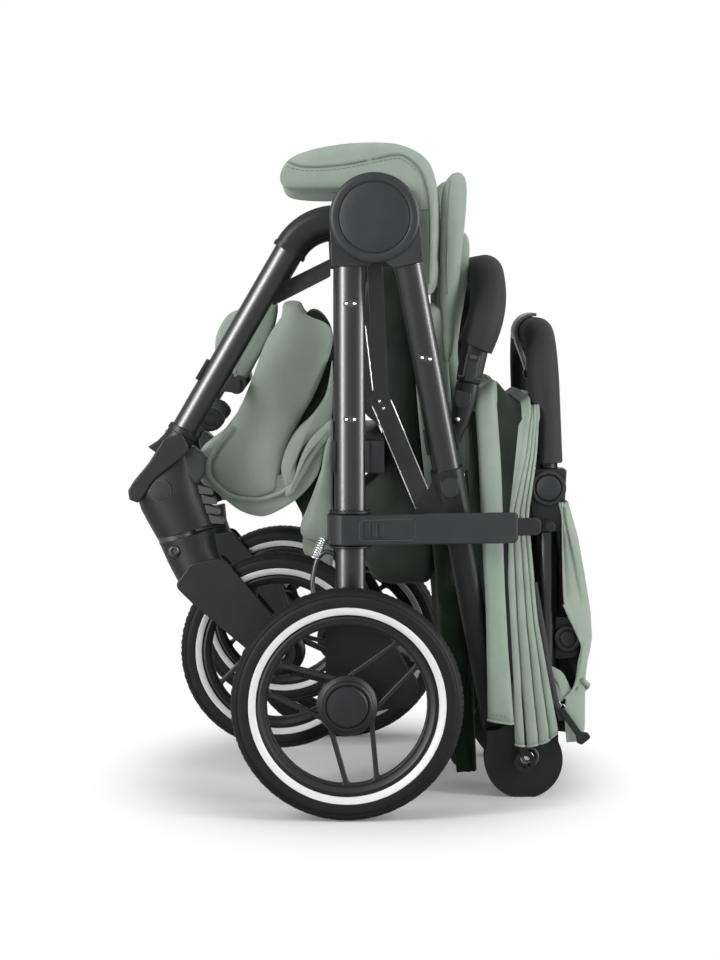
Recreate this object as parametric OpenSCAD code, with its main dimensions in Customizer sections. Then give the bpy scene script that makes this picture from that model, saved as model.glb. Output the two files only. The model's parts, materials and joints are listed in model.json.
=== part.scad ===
// Folding all-terrain stroller, standing folded on its rear wheels and its two lower handle joints.
// +X is the rear, +Y is the child's right, +Z is up, and Y = 0 is the middle of the stroller.
// "out" is a distance from that middle plane towards either side.
// Distances behind the rear axle are turned into the part's own frame at the end.

/* [Wheels] */
// Radius of the rear tyres
rear_wheel_r = 110; // [96:1:124]
// Width of the rear tyres
rear_wheel_w = 34; // [28:1:40]
// Distance between the middles of the two rear tyres
rear_track = 482; // [474:1:560]
// Radius of the front tyres
front_wheel_r = 96; // [84:1:98]
// Width of the front tyres
front_wheel_w = 32; // [26:1:34]
// Distance between the middles of the two front tyres
front_track = 290; // [270:1:292]
// Height of the tyre's wall above its rim
tyre_depth = 26; // [20:1:30]
// Thickness of the rim's ring
rim_ring = 7; // [5:0.5:12]

/* [Fold hub] */
// Distance of the fold hub behind the rear axle
hub_x = 26; // [20:1:32]
// Height of the fold hub
hub_z = 567; // [540:1:640]
// Radius of the outer hub disc
hub_r = 42.5; // [38:0.5:46]
// Outer face of the hub disc from the middle plane
hub_out = 222; // [221:1:232]
// Thickness of each hub plate
hub_plate = 22; // [20:1:22]
// Radius of the hub shaft
shaft_r = 8; // [6:0.5:10]

/* [Tubes] */
// Depth of the rear leg's oval tube
leg_w = 29; // [24:1:32]
// Thickness of the rear leg's oval tube
leg_t = 18; // [14:1:20]
// Distance of the rear legs behind the rear axle
leg_x = 3.5; // [0:0.5:6]
// Depth of the pusher's oval tube
pusher_w = 27; // [24:1:28]
// Thickness of the pusher's oval tube
pusher_t = 20; // [16:1:20]
// Depth of the front leg's oval tube
front_tube_w = 25; // [22:1:27]
// Thickness of the front leg's oval tube
front_tube_t = 18; // [14:1:19]
// Wall of all tubes
wall = 1.6; // [1:0.1:2.4]

/* [Handle] */
// Distance of the lower handle joints behind the rear axle
joint_x = 175; // [165:1:195]
// Radius of the lower handle joints
joint_r = 38.5; // [37.5:0.5:40]
// Height of the lower handle joints above the ground, which cuts a flat foot on them
joint_z = 37; // [36:0.5:37]
// Outer face of the lower handle joints from the middle plane
joint_out = 130; // [128:1:134]
// Diameter of the handle's lower tube
handle_d = 21; // [18:1:22]
// Height of the grip joint
grip_joint_z = 306; // [296:1:330]
// Height of the grip's cross bar above the grip joint
grip_rise = 150; // [135:1:170]
// Diameter of the foam on the grip
grip_foam_d = 30; // [26:1:32]

/* [Bumper bar] */
// Diameter of the foam on the bumper bar
bumper_foam_d = 35; // [30:1:36]
// Middle of the bumper bar's arms from the middle plane
bumper_out = 144; // [140:1:145]

/* [Fold lock] */
// Height of the fold lock's strap
lock_z = 271; // [268:1:276]
// Depth of the strap, up and down
lock_h = 30; // [24:1:32]
// Thickness of the strap
lock_t = 7; // [5:0.5:7]

/* [Soft parts] */
// Half the width of the seat cushion
seat_half = 145; // [120:1:150]
// Thickness of the backrest
back_t = 24; // [18:1:26]
// Half the width of the canopy
canopy_half = 149; // [149:0.5:151]
// Half the width of the basket
basket_half = 112; // [90:1:116]

/* [Hidden] */
$fn = 48;

// Gap between faces that slide past each other, and radial clearance of a running fit
gap = 0.3;
run = 0.05;

// Places that the driving sizes give
origin_x = 19.5;
wheel_out = rear_track / 2;
front_out = front_track / 2;
axle_z = rear_wheel_r;
front_axle = [-65, 149];
disc_in = hub_out - hub_plate;
leg_out = disc_in - gap - (hub_plate - gap) / 2;
front_plate_out = leg_out - hub_plate;
plate_half = (hub_plate - gap) / 2;
seam_z = hub_z - 46;
housing_top = axle_z + 80;
beam = [52, axle_z + 8];
beam_r = 11;

// The pusher runs from the hub down to the lower joint, and leans in towards the handle
pusher_top = [hub_x + 32, -(hub_out - 17), hub_z - 44];
pusher_end = [joint_x - 23, -(joint_out - 28), joint_z + 7];
function pusher_at(z) = pusher_top + (pusher_end - pusher_top) * (pusher_top.z - z) / (pusher_top.z - pusher_end.z);
sleeve_z = 327;
bar_z = 256;

// The front leg runs from its elbow down to the swivel
front_top = [hub_x - 80, -front_plate_out, hub_z - 27];
front_end = [-158, -(front_out + 1), 362];
swivel = [-163, -front_out, 258.5];
swivel_tilt = 24.4;
swivel_pin_r = 6;
fork_in = front_wheel_w / 2 + 3;
fork_plate = 7;

// The handle
handle_out = joint_out - 8;
handle_x = joint_x + 21.5;
joint_mid = joint_out - 18;
joint_sweep = 50;
bow_t = 4;
bow_out = joint_out + 6.5;
grip_joint = [handle_x + 1.5, -handle_out, grip_joint_z];
grip_lean = -2.6;
grip_bend = 55;

// The bumper bar's hinge, the foot of its arms' middle line, and its cross bar
bumper_pivot = [100, 352];
bumper_foot = [107, 346];
bumper_cross = [138, 516];
bumper_bend = 60;

// Puts the origin in the middle of the footprint
module place() {
    translate([-origin_x, 0, 0]) children();
}

module both() {
    children();
    mirror([0, 1, 0]) children();
}

// Points local +Z from p to q and keeps local X in the side view's plane
module aim(p, q) {
    d = q - p;
    translate(p) rotate([asin(-d.y / norm(d)), atan2(d.x, d.z), 0]) children();
}

module oval(w, t) {
    square([w - t, t], center = true);
    for (s = [-1, 1]) translate([s * (w - t) / 2, 0]) circle(d = t);
}

module oval_bar(p, q, w, t) {
    aim(p, q) linear_extrude(norm(q - p)) oval(w, t);
}

module oval_tube(p, q, w, t) {
    aim(p, q) linear_extrude(norm(q - p)) difference() {
        oval(w, t);
        oval(w - 2 * wall, t - 2 * wall);
    }
}

module rod(p, q, r) {
    aim(p, q) cylinder(r = r, h = norm(q - p));
}

// A disc on the left side whose axis is along Y
module disc_y(x, z, r, out0, out1) {
    translate([x, -out1, z]) rotate([-90, 0, 0]) cylinder(r = r, h = out1 - out0);
}

// A plate on the left side, cut from a side-view outline
module plate_y(points, out0, out1) {
    translate([0, -out0, 0]) rotate([90, 0, 0]) linear_extrude(out1 - out0) polygon(points);
}

// The outline of a belt round two circles, as a side-view polygon
function belt(c1, r1, c2, r2) = let(
    d = norm(c2 - c1), a = atan2(c2.y - c1.y, c2.x - c1.x), b = acos((r1 - r2) / d))
    [c1 + r1 * [cos(a + b), sin(a + b)], c2 + r2 * [cos(a + b), sin(a + b)],
        c2 + r2 * [cos(a - b), sin(a - b)], c1 + r1 * [cos(a - b), sin(a - b)]];

// ---- Rear frame ----

module rear_legs() {
    color("#26272a") both() oval_tube([leg_x, -leg_out, housing_top - 20], [leg_x, -leg_out, seam_z], leg_w, leg_t);
}

module rear_hub_plates() {
    color("#3a3b3e") both() {
        difference() {
            union() {
                disc_y(hub_x, hub_z, hub_r - 2.5, leg_out - plate_half, leg_out + plate_half);
                difference() {
                    plate_y(belt([hub_x, hub_z], hub_r - 3, [leg_x, seam_z], leg_w / 2 + 2.5),
                        leg_out - plate_half + 0.2, leg_out + plate_half - 0.2);
                    translate([leg_x - 60, -hub_out, seam_z - 40]) cube([120, hub_plate + 60, 40]);
                }
                oval_bar([leg_x, -leg_out, seam_z], [leg_x, -leg_out, hub_z], leg_w + 5, hub_plate - gap - 1);
                oval_bar([leg_x, -leg_out, seam_z - 30], [leg_x, -leg_out, seam_z + 1],
                    leg_w - 2 * wall - 0.4, leg_t - 2 * wall - 0.4);
            }
            disc_y(hub_x, hub_z, shaft_r + run, 0, hub_out);
        }
    }
}

module hub_shaft() {
    color("#8b8d90") translate([hub_x, 0, hub_z]) rotate([90, 0, 0])
        cylinder(r = shaft_r, h = 2 * (hub_out - 4), center = true);
}

module axle_housings() {
    inner = leg_out - 12;
    outer = leg_out + 23;
    color("#2b2c2f") both() difference() {
        union() {
            plate_y([[leg_x - 24, housing_top], [leg_x + 26, housing_top], [beam.x + 10, beam.y + 14],
                [beam.x + 12, beam.y - 12], [12, axle_z - 16], [-20, axle_z - 10]], inner, outer);
            disc_y(0, axle_z, 20, inner, outer);
            disc_y(beam.x, beam.y, 17, inner, outer);
            disc_y(0, axle_z, 12, outer - 1, wheel_out - rear_wheel_w / 2 - 1);
        }
        oval_bar([leg_x, -leg_out, housing_top - 20], [leg_x, -leg_out, housing_top + 1],
            leg_w + 0.3, leg_t + 0.3);
        disc_y(0, axle_z, 6.02, inner + 8, wheel_out);
        disc_y(beam.x, beam.y, beam_r + run, inner - 1, leg_out + 11);
    }
}

module rear_axle_tube() {
    color("#2b2c2f") translate([beam.x, 0, beam.y]) rotate([90, 0, 0]) difference() {
        cylinder(r = beam_r, h = 2 * (leg_out + 10.5), center = true);
        cylinder(r = beam_r - wall, h = 2 * hub_out, center = true);
    }
}

module stub_axles() {
    color("silver") both() disc_y(0, axle_z, 6, leg_out, wheel_out + 12);
}

module rear_crossbar() {
    color("#232426") {
        translate([20, -(leg_out - 11), 323]) cube([16, 2 * (leg_out - 11), 34]);
        both() difference() {
            union() {
                oval_bar([leg_x, -leg_out, 325], [leg_x, -leg_out, 355], leg_w + 7, leg_t + 6);
                translate([14, -leg_out, 325]) cube([22, 12, 30]);
            }
            oval_bar([leg_x, -leg_out, 320], [leg_x, -leg_out, 360], leg_w + 0.3, leg_t + 0.3);
        }
    }
}

// Pairs of small domes on the flat outer side of each leg
module frame_rivets() {
    color("silver") both() for (z = [hub_z - 81, hub_z - 191], s = [-1, 1])
        disc_y(leg_x + s * 3.6, z, 1.8, leg_out + leg_t / 2, leg_out + leg_t / 2 + 1);
}

// Brake cable between the leg and the brake housing
cable_r = 2.5;
cable_points = [[-11.9, 246.5], [-15, 248], [-20, 249], [-25, 246.5], [-28.5, 240.5], [-31, 232],
    [-32.5, 222], [-32, 210], [-29.5, 199], [-26, 190], [-23.3, 182]];
cable_sides = 8;

function cable_tangent(i) = let(
    a = cable_points[max(i - 1, 0)],
    b = cable_points[min(i + 1, len(cable_points) - 1)]) (b - a) / norm(b - a);

module brake_cable() {
    rings = [for (i = [0:len(cable_points) - 1], k = [0:cable_sides - 1]) let(
        t = cable_tangent(i), a = 360 * k / cable_sides)
        [cable_points[i].x + cable_r * cos(a) * t.y, -leg_out + cable_r * sin(a),
            cable_points[i].y - cable_r * cos(a) * t.x]];
    last = (len(cable_points) - 1) * cable_sides;
    color("black") both() polyhedron(rings, concat(
        [[for (k = [0:cable_sides - 1]) k]],
        [for (i = [0:len(cable_points) - 2], k = [0:cable_sides - 1]) let(
            a = i * cable_sides + k, b = i * cable_sides + (k + 1) % cable_sides)
            [a, a + cable_sides, b + cable_sides, b]],
        [[for (k = [cable_sides - 1:-1:0]) last + k]]));
}

collar_r = leg_w / 2 + 2.5;

module lock_collar() {
    color("#232426") translate([leg_x, -leg_out, lock_z - lock_h / 2 - 3]) difference() {
        union() {
            cylinder(r = collar_r, h = lock_h + 6);
            cylinder(r = collar_r + 3, h = 2.7);
            translate([0, 0, lock_h + 3.3]) cylinder(r = collar_r + 3, h = 2.7);
        }
        translate([0, 0, -1]) linear_extrude(lock_h + 8) oval(leg_w + 0.3, leg_t + 0.3);
    }
}

strap_lean = 11.5;
strap_long = 164;
peg = [handle_x, lock_z];
peg_r = 5;

module on_strap() {
    translate([leg_x, -(leg_out + collar_r + lock_t / 2 - 0.5), lock_z]) rotate([0, 0, strap_lean]) children();
}

// A strap on the child's left that swings round the leg and closes against a peg on the handle
module lock_strap() {
    reach = (peg.x - peg_r - 0.5 - leg_x) / cos(strap_lean);
    color("#232426") difference() {
        union() {
            translate([leg_x, -leg_out, lock_z - lock_h / 2]) cylinder(r = collar_r + 5, h = lock_h);
            on_strap() {
                translate([-6, -lock_t / 2, -lock_h / 2 + 1]) cube([strap_long + 6, lock_t, lock_h - 2]);
                translate([strap_long - 4, -lock_t / 2 + 1, -7]) cube([reach - strap_long + 4, lock_t - 2, 16]);
            }
        }
        translate([leg_x, -leg_out, lock_z - lock_h]) cylinder(r = collar_r + run, h = 2 * lock_h);
        on_strap() translate([2, -lock_t / 2 - 1, -10]) cube([48, 3.6, 20]);
    }
}

module lock_slide() {
    color("#3a3b3e") on_strap() {
        translate([4, -lock_t / 2, -9.9]) cube([38, 2.5, 19.8]);
        for (x = [12, 20, 28]) translate([x, -lock_t / 2 - 1.2, -8]) cube([2.4, 2, 16]);
    }
}

// ---- Wheels ----

module tyre(r, w) {
    rotate([90, 0, 0]) rotate_extrude($fn = 96) intersection() {
        translate([r - w / 2, 0]) circle(d = w);
        translate([r - tyre_depth * r / rear_wheel_r, -w]) square([2 * w, 2 * w]);
    }
}

// A rim with three pairs of thin spokes that meet in points at the hub
module rim(r, w, bore, turn) {
    cap = 19.5 * r / rear_wheel_r;
    out_r = r - tyre_depth * r / rear_wheel_r;
    in_r = out_r - rim_ring * r / rear_wheel_r;
    hub = 27 * r / rear_wheel_r;
    rotate([90, 0, 0]) difference() {
        union() {
            difference() {
                cylinder(r = out_r, h = w - 6, center = true, $fn = 96);
                cylinder(r = in_r, h = w, center = true, $fn = 96);
            }
            cylinder(r = hub, h = w + 2, center = true);
            if (r == rear_wheel_r) {
                translate([0, 0, w / 2]) cylinder(r = cap, h = 4);
                translate([0, 0, w / 2 + 4]) cylinder(r1 = cap, r2 = cap - 3, h = 2);
            }
            for (k = [0:2], s = [-1, 1]) {
                a = turn + 120 * k;
                p = (hub - 3) * [cos(a + 60 * s), sin(a + 60 * s), 0];
                q = (in_r + 1.4) * [cos(a + 10 * s), sin(a + 10 * s), 0];
                translate(p) rotate([0, 0, atan2(q.y - p.y, q.x - p.x)])
                    translate([0, -2.2, -7]) cube([norm(q - p), 4.4, 14]);
            }
        }
        translate([0, 0, -w]) cylinder(r = bore, h = w + 12.1);
        if (r < rear_wheel_r) cylinder(r = bore, h = 3 * w, center = true);
    }
}

module rear_tyre_left() {
    color("#1b1b1d") translate([0, -wheel_out, axle_z]) tyre(rear_wheel_r, rear_wheel_w);
}

module rear_tyre_right() {
    color("#1b1b1d") translate([0, wheel_out, axle_z]) tyre(rear_wheel_r, rear_wheel_w);
}

module rear_rim_left() {
    color("#303134") translate([0, -wheel_out, axle_z]) rim(rear_wheel_r, rear_wheel_w, 6.08, -80);
}

module rear_rim_right() {
    color("#303134") mirror([0, 1, 0]) translate([0, -wheel_out, axle_z]) rim(rear_wheel_r, rear_wheel_w, 6.08, -50);
}

module front_tyre_left() {
    color("#1b1b1d") translate([front_axle.x, -front_out, front_axle.y]) tyre(front_wheel_r, front_wheel_w);
}

module front_tyre_right() {
    color("#1b1b1d") translate([front_axle.x, front_out, front_axle.y]) tyre(front_wheel_r, front_wheel_w);
}

module front_rim_left() {
    color("#303134") translate([front_axle.x, -front_out, front_axle.y]) rim(front_wheel_r, front_wheel_w, 5.08, -20);
}

module front_rim_right() {
    color("#303134") translate([front_axle.x, front_out, front_axle.y]) rim(front_wheel_r, front_wheel_w, 5.08, 10);
}

// A foot bar on a sleeve that turns on the rear axle tube
module brake_pedal() {
    color("#303134") translate([beam.x, 0, beam.y]) rotate([90, 0, 0]) difference() {
        union() {
            cylinder(r = beam_r + 4, h = 90, center = true);
            translate([beam_r, -2, -38]) cube([16, 6, 76]);
            translate([beam_r + 16, 1, 0]) cylinder(r = 5, h = 76, center = true);
        }
        cylinder(r = beam_r + run, h = 100, center = true);
    }
}

// ---- Front frame ----

elbow_r = 52;
elbow_turn = 59.5;

module front_hub_plates() {
    color("#2e2f32") both() difference() {
        union() {
            disc_y(hub_x, hub_z, hub_r - 4.5, front_plate_out - plate_half, front_plate_out + plate_half);
            plate_y([[front_top.x + 44.8, hub_z + 13], [hub_x, hub_z + 13], [hub_x, hub_z - 17],
                [front_top.x + 44.8, hub_z - 17]], front_plate_out - 10, front_plate_out + 10);
            // the elbow turns the plate's neck into the tube's direction
            translate([front_top.x + 44.8, -front_plate_out, front_top.z - 26.5]) rotate([90, 0, 0])
                rotate([0, 0, 90]) rotate_extrude(angle = elbow_turn)
                    translate([elbow_r, 0]) oval(29, 20);
            translate([front_top.x, -front_plate_out, front_top.z]) rotate([0, 180 + 30.5, 0]) {
                linear_extrude(5) oval(31, 20.6);
            }
            aim(front_top, front_end) linear_extrude(34) oval(front_tube_w - 2 * wall - 0.5, front_tube_t - 2 * wall - 0.5);
        }
        disc_y(hub_x, hub_z, shaft_r + run, 0, hub_out);
    }
}

module front_tubes() {
    start = front_top + (front_end - front_top) * 7 / norm(front_end - front_top);
    color("#26272a") both() oval_tube(start, front_end, front_tube_w, front_tube_t);
}

module swivel_housings() {
    half = 17;
    color("#2b2c2f") both() difference() {
        union() {
            plate_y([[-175, 352], [-155, 361], [-139, 345], [-138, 330], [-147, 266], [-179, 251.5], [-208, 304],
                [-204, 312]], front_out - half, front_out + half);
            translate(swivel) rotate([0, -swivel_tilt, 0]) cylinder(r = 19.5, h = 56);
            disc_y(-179, 303, 9, front_out, front_out + half + 1.5);
            aim(front_end, front_top) translate([0, 0, -16]) linear_extrude(20) oval(front_tube_w + 5, front_tube_t + 5);
        }
        translate(swivel) rotate([0, -swivel_tilt, 0]) {
            translate([0, 0, -1]) cylinder(r = swivel_pin_r + run, h = 41);
            translate([0, 0, -20]) cube([200, 200, 40], center = true);
        }
        aim(front_end, front_top) linear_extrude(60) oval(front_tube_w + 0.3, front_tube_t + 0.3);
    }
}

module footrest_bar() {
    at = front_end + (front_top - front_end) * 0.3;
    color("#232426") difference() {
        union() {
            rod([at.x + 21, at.y + 1, at.z - 9], [at.x + 21, -at.y - 1, at.z - 9], 8);
            both() {
                translate(at) rotate([0, atan2((front_top - front_end).x, (front_top - front_end).z), 0])
                    translate([0, 0, -11]) linear_extrude(22) oval(front_tube_w + 6, front_tube_t + 8);
                plate_y([[at.x + 4, at.z + 2], [at.x + 24, at.z - 2], [at.x + 24, at.z - 16], [at.x + 4, at.z - 14]],
                    -at.y - 6, -at.y + 6);
            }
        }
        both() aim(front_end, front_top) linear_extrude(190) oval(front_tube_w + 0.3, front_tube_t + 0.3);
    }
}

// A deep open tub of cloth between the front tubes and the rear legs
module basket() {
    outline = [[-58, 484], [-26, 470], [-20, 400], [-22, 300], [-34, 262], [-80, 262], [-122, 302], [-135.5, 326]];
    inner = [[-44, 500], [-31, 500], [-25, 400], [-27, 303], [-37, 267], [-78, 267], [-118, 306], [-129.5, 326]];
    color("#8ea58c") difference() {
        plate_y(outline, -basket_half, basket_half);
        plate_y(inner, -basket_half + 4, basket_half - 4);
    }
}

// Webbing that hangs the basket from the rear legs
module basket_strap() {
    color("#1b1b1d") both() plate_y([[-15, 529], [-15, 512], [-70, 484], [-80, 497]], front_plate_out - 17.4,
        front_plate_out - 15.2);
}

module fork() {
    mid = [(front_axle.x - 139) / 2, (front_axle.y + 224) / 2];
    difference() {
        union() {
            translate(swivel) rotate([0, -swivel_tilt, 0]) {
                translate([0, 0, -24]) cylinder(r = 19.5, h = 24 - gap);
                cylinder(r = swivel_pin_r, h = 38);
                translate([0, 0, -gap - 1]) cylinder(r = swivel_pin_r, h = 3);
            }
            plate_y([[-178, 246], [-147, 262], [-124, 243], [-121, 238], [-153, 206], [-158, 209]],
                front_out - fork_in - fork_plate, front_out + fork_in + fork_plate);
            for (s = [-1, 1]) {
                inner = front_out + s * (fork_in + fork_plate / 2) - fork_plate / 2;
                plate_y([[-153, 206], [-121, 238], [front_axle.x + 13, front_axle.y + 13],
                    [front_axle.x - 13, front_axle.y - 13]], inner, inner + fork_plate);
                disc_y(front_axle.x, front_axle.y, 18.4, inner, inner + fork_plate);
                disc_y(front_axle.x, front_axle.y, 9, front_out + s * (fork_in - 0.7) - 1, front_out + s * (fork_in - 0.7) + 1);
            }
            disc_y(front_axle.x, front_axle.y, 5, front_out - fork_in - fork_plate, front_out + fork_in + fork_plate);
        }
        // nothing of the fork stands above the swivel seam except its pin
        translate(swivel) rotate([0, -swivel_tilt, 0]) translate([0, 0, 20 - gap]) difference() {
            cube([200, 200, 40], center = true);
            cylinder(r = swivel_pin_r, h = 80, center = true);
        }
    }
}

module fork_left() {
    color("#2b2c2f") fork();
}

module fork_right() {
    color("#2b2c2f") mirror([0, 1, 0]) fork();
}

// ---- Pusher ----

module pusher_hub_discs() {
    top = pusher_at(hub_z);
    color("#3a3b3e") both() difference() {
        union() {
            disc_y(hub_x, hub_z, hub_r, disc_in, hub_out - 4);
            translate([hub_x, -(hub_out - 4), hub_z]) rotate([90, 0, 0])
                cylinder(r1 = hub_r, r2 = hub_r - 3, h = 3);
            disc_y(hub_x, hub_z, hub_r - 7.5, disc_in, hub_out);
            difference() {
                plate_y(belt([hub_x, hub_z], hub_r - 0.5, [pusher_top.x, pusher_top.z + 1], pusher_w / 2 + 2),
                    disc_in + 0.2, hub_out - 5);
                aim(pusher_at(seam_z), pusher_end) translate([-60, -60, 0]) cube([120, 120, 60]);
            }
            difference() {
                oval_bar(pusher_at(seam_z), top, pusher_w + 4, pusher_t + 2);
                disc_y(hub_x, hub_z, hub_r, 0, disc_in);
            }
            aim(pusher_at(seam_z + 1), pusher_end) linear_extrude(31)
                oval(pusher_w - 2 * wall - 0.4, pusher_t - 2 * wall - 0.4);
        }
        disc_y(hub_x, hub_z, shaft_r + run, 0, hub_out - 3.9);
        translate([hub_x, -hub_out - 20, hub_z]) rotate([-90, 0, 0]) cylinder(r = hub_r + 30, h = 20);
    }
}

module pusher_tubes() {
    color("#26272a") both() {
        oval_tube(pusher_at(seam_z), pusher_at(sleeve_z), pusher_w, pusher_t);
        aim(pusher_at(434), pusher_top) rotate([90, 0, 0]) translate([0, 0, pusher_t / 2 - 0.4]) cylinder(r = 3, h = 1.6);
    }
}

module pusher_sleeves() {
    low = pusher_at(bar_z);
    top = pusher_at(sleeve_z);
    bracket_out = -pusher_at(288).y + 0.3;
    color("#303134") both() difference() {
        union() {
            oval_bar(low, top, pusher_w + 5, pusher_t + 4);
            plate_y([[88, 322], [66, 284], [70, 278], [104, 262], [104, 318]], bracket_out, bracket_out + 10.7);
            aim(top, pusher_top) linear_extrude(30)
                oval(pusher_w - 2 * wall - 0.4, pusher_t - 2 * wall - 0.4);
        }
        // a pocket for the release button
        release_at() cylinder(r = 8.1, h = 20);
    }
}

module release_at() {
    p = pusher_at(311);
    translate([p.x, p.y - (pusher_t / 2 - 5), p.z]) rotate([90, 0, 0]) children();
}

module release_button() {
    release_at() translate([0, 0, 2]) cylinder(r = 8, h = 6.5);
}

module release_button_left() {
    color("#3a3b3e") release_button();
}

module release_button_right() {
    color("#3a3b3e") mirror([0, 1, 0]) release_button();
}

module pusher_bars() {
    color("#1f2023") both() difference() {
        oval_bar(pusher_at(bar_z), pusher_at(70), pusher_w - 2, pusher_t);
        aim(pusher_at(bar_z + 1), pusher_end) linear_extrude(240) oval(pusher_w - 8, pusher_t - 6);
        disc_y(joint_x, joint_z, joint_sweep, joint_mid, joint_out + 20);
    }
}

module lower_joint_plates() {
    color("#2b2c2f") both() difference() {
        union() {
            disc_y(joint_x, joint_z, joint_r - 1, joint_mid - 20, joint_mid);
            oval_bar(pusher_at(70), pusher_at(joint_z), pusher_w - 2, pusher_t);
            aim(pusher_at(69), pusher_top) linear_extrude(26) oval(pusher_w - 8.4, pusher_t - 6.4);
        }
        disc_y(joint_x, joint_z, joint_sweep, joint_mid, joint_out + 20);
        disc_y(joint_x, joint_z, 6 + run, 0, joint_out + 1);
        translate([0, -200, -20]) cube([400, 400, 20]);
    }
}

// Bolts that also carry the canopy bows
module joint_bolts() {
    color("silver") both() {
        disc_y(joint_x, joint_z, 6, joint_mid - 20, bow_out + 2 * bow_t + 1);
        disc_y(joint_x, joint_z, 7.5, bow_out + 2 * bow_t + 0.8, bow_out + 2 * bow_t + 2.8);
    }
}

// A rounded bar between two points of the side view
module bar_2d(p, q, w) {
    for (e = [p, q]) translate(e) circle(d = w);
    translate(p) rotate(atan2(q.y - p.y, q.x - p.x)) translate([0, -w / 2 + 0.3]) square([norm(q - p), w - 0.6]);
}

module braces() {
    inner = seat_half + 1;
    knee = [34, 392];
    foot = [76, 291];
    color("#2b2c2f") both() translate([0, -inner, 0]) rotate([90, 0, 0]) {
        linear_extrude(8) difference() {
            union() {
                translate([hub_x, hub_z]) circle(r = 14);
                bar_2d([hub_x, hub_z - 10], knee, 15);
                bar_2d(knee, foot, 19);
            }
            translate([hub_x, hub_z]) circle(r = shaft_r + run);
        }
        for (s = [-1, 1]) translate([knee.x + s * 4, knee.y, 7.5]) cylinder(r = 1.8, h = 1.5);
    }
}

// Collars on the pusher tubes, each with a pin on its inner side that carries the bumper bar
module bumper_sockets() {
    color("#2b2c2f") both() {
        difference() {
            oval_bar(pusher_at(343), pusher_at(366), pusher_w + 5, pusher_t + 5);
            oval_bar(pusher_at(335), pusher_at(375), pusher_w + 0.3, pusher_t + 0.3);
        }
        disc_y(bumper_pivot.x, bumper_pivot.y, 4, bumper_out - bumper_lug, -pusher_at(bumper_pivot.y).y - pusher_t / 2 - 1.2);
    }
}

// ---- Seat ----

back_top = [80, 485];
back_foot = [117, 24];

module backrest() {
    top_half = seat_half - 8;
    foot_half = -pusher_at(back_foot.y).y - pusher_t / 2 - 3;
    long = norm(back_top - back_foot);
    lean = atan2(back_foot.x - back_top.x, back_top.y - back_foot.y);
    color("#6f8a70") translate([back_foot.x, 0, back_foot.y]) rotate([0, -lean, 0]) rotate([90, 0, 90])
        translate([0, 0, -back_t / 2]) linear_extrude(back_t)
            polygon([[-foot_half, 0], [foot_half, 0], [top_half, long], [-top_half, long]]);
    // webs that reach the pusher tubes
    color("#6f8a70") both() plate_y([[104, 206], [119, 206], [119, 230], [104, 230]], 96,
        -pusher_at(206).y - pusher_t / 2 - 0.3);
}

// Padded fins on both sides of the child's hips
module side_wings() {
    color("#a3b8a1") both() plate_y([[93, 480], [107, 480], [112, 540], [120, 585], [117, 606], [107, 615], [98, 606],
        [95, 580]], 104, 132);
}

// Soft cover over the hub, where the seat turns into the backrest
module seat_corner() {
    color("#a3b8a1") plate_y([[24, 643], [48, 645], [74, 637], [88, 622], [92, 590], [91, 488], [70, 488], [68, 560],
        [66, 590], [56, 603], [24, 603]], -seat_half, seat_half);
}

module seat_cushion() {
    color("#a3b8a1") {
        plate_y([[-66, 612], [-60, 600], [23.4, 600], [23.4, 643], [-40, 628]], -seat_half, seat_half);
        // a pan under the cushion turns on the hub shaft
        difference() {
            union() {
                plate_y([[-52, 593], [20, 593], [20, 599.7], [-52, 599.7]], -120, 120);
                for (y = [-90, 90]) plate_y([[10, 594], [42, 590], [38, 567], [14, 567]], y - 12, y + 12);
                for (y = [-90, 90]) disc_y(hub_x, hub_z, 15, y - 12, y + 12);
            }
            disc_y(hub_x, hub_z, shaft_r + run, -hub_out, hub_out);
        }
    }
}

// ---- Handle ----

module handle_joint_plates() {
    inner = joint_mid + gap;
    top = joint_z + 62;
    color("#303134") both() difference() {
        union() {
            disc_y(joint_x, joint_z, joint_r, inner, joint_out);
            plate_y([[joint_x - 36, joint_z], [joint_x + 34, joint_z], [joint_x + 34, top - 10], [joint_x + 30, top],
                [joint_x + 8, top], [joint_x - 8, joint_z + 42], [joint_x - 12, joint_z + 31], [joint_x - 36, joint_z + 29]], inner, joint_out);
            rod([handle_x, -handle_out, top - 8], [handle_x, -handle_out, top + 18], handle_d / 2 - wall - 0.2);
        }
        disc_y(joint_x, joint_z, 6 + run, 0, joint_out + 1);
        translate([0, -200, -20]) cube([400, 400, 20]);
    }
}

module handle_tubes() {
    color("#26272a") both() difference() {
        rod([handle_x, -handle_out, joint_z + 62], [handle_x, -handle_out, grip_joint_z - 44], handle_d / 2);
        rod([handle_x, -handle_out, joint_z + 61], [handle_x, -handle_out, grip_joint_z - 43], handle_d / 2 - wall);
    }
}

// The grip joint's housing on each arm, with a button pocket
module grip_housings() {
    x = grip_joint.x;
    z = grip_joint_z;
    color("#303134") both() difference() {
        union() {
            plate_y([[x - 20, z + 1], [x - 17, z - 30], [x - 16, z - 44], [x + 15, z - 44], [x + 17, z - 30],
                [x + 16, z + 1]], handle_out - 15, handle_out + 15);
            disc_y(x, z, 17, handle_out - 15, handle_out + 15);
            rod([handle_x, -handle_out, z - 60], [handle_x, -handle_out, z - 43], handle_d / 2 - wall - 0.2);
            // a peg that stops the fold lock's strap
            disc_y(peg.x, peg.y, peg_r, handle_out, leg_out - 16);
        }
        // slot for the grip's tongue
        disc_y(x, z, 21.5, handle_out - 6.3, handle_out + 6.3);
        disc_y(x, z, 12.1, handle_out + 8, handle_out + 16);
        disc_y(x, z, 5 + run, handle_out - 14, handle_out + 14);
    }
}

module grip_button() {
    disc_y(grip_joint.x, grip_joint_z, 12, handle_out + 10, handle_out + 17);
}

module grip_button_left() {
    color("#3a3b3e") grip_button();
}

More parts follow.
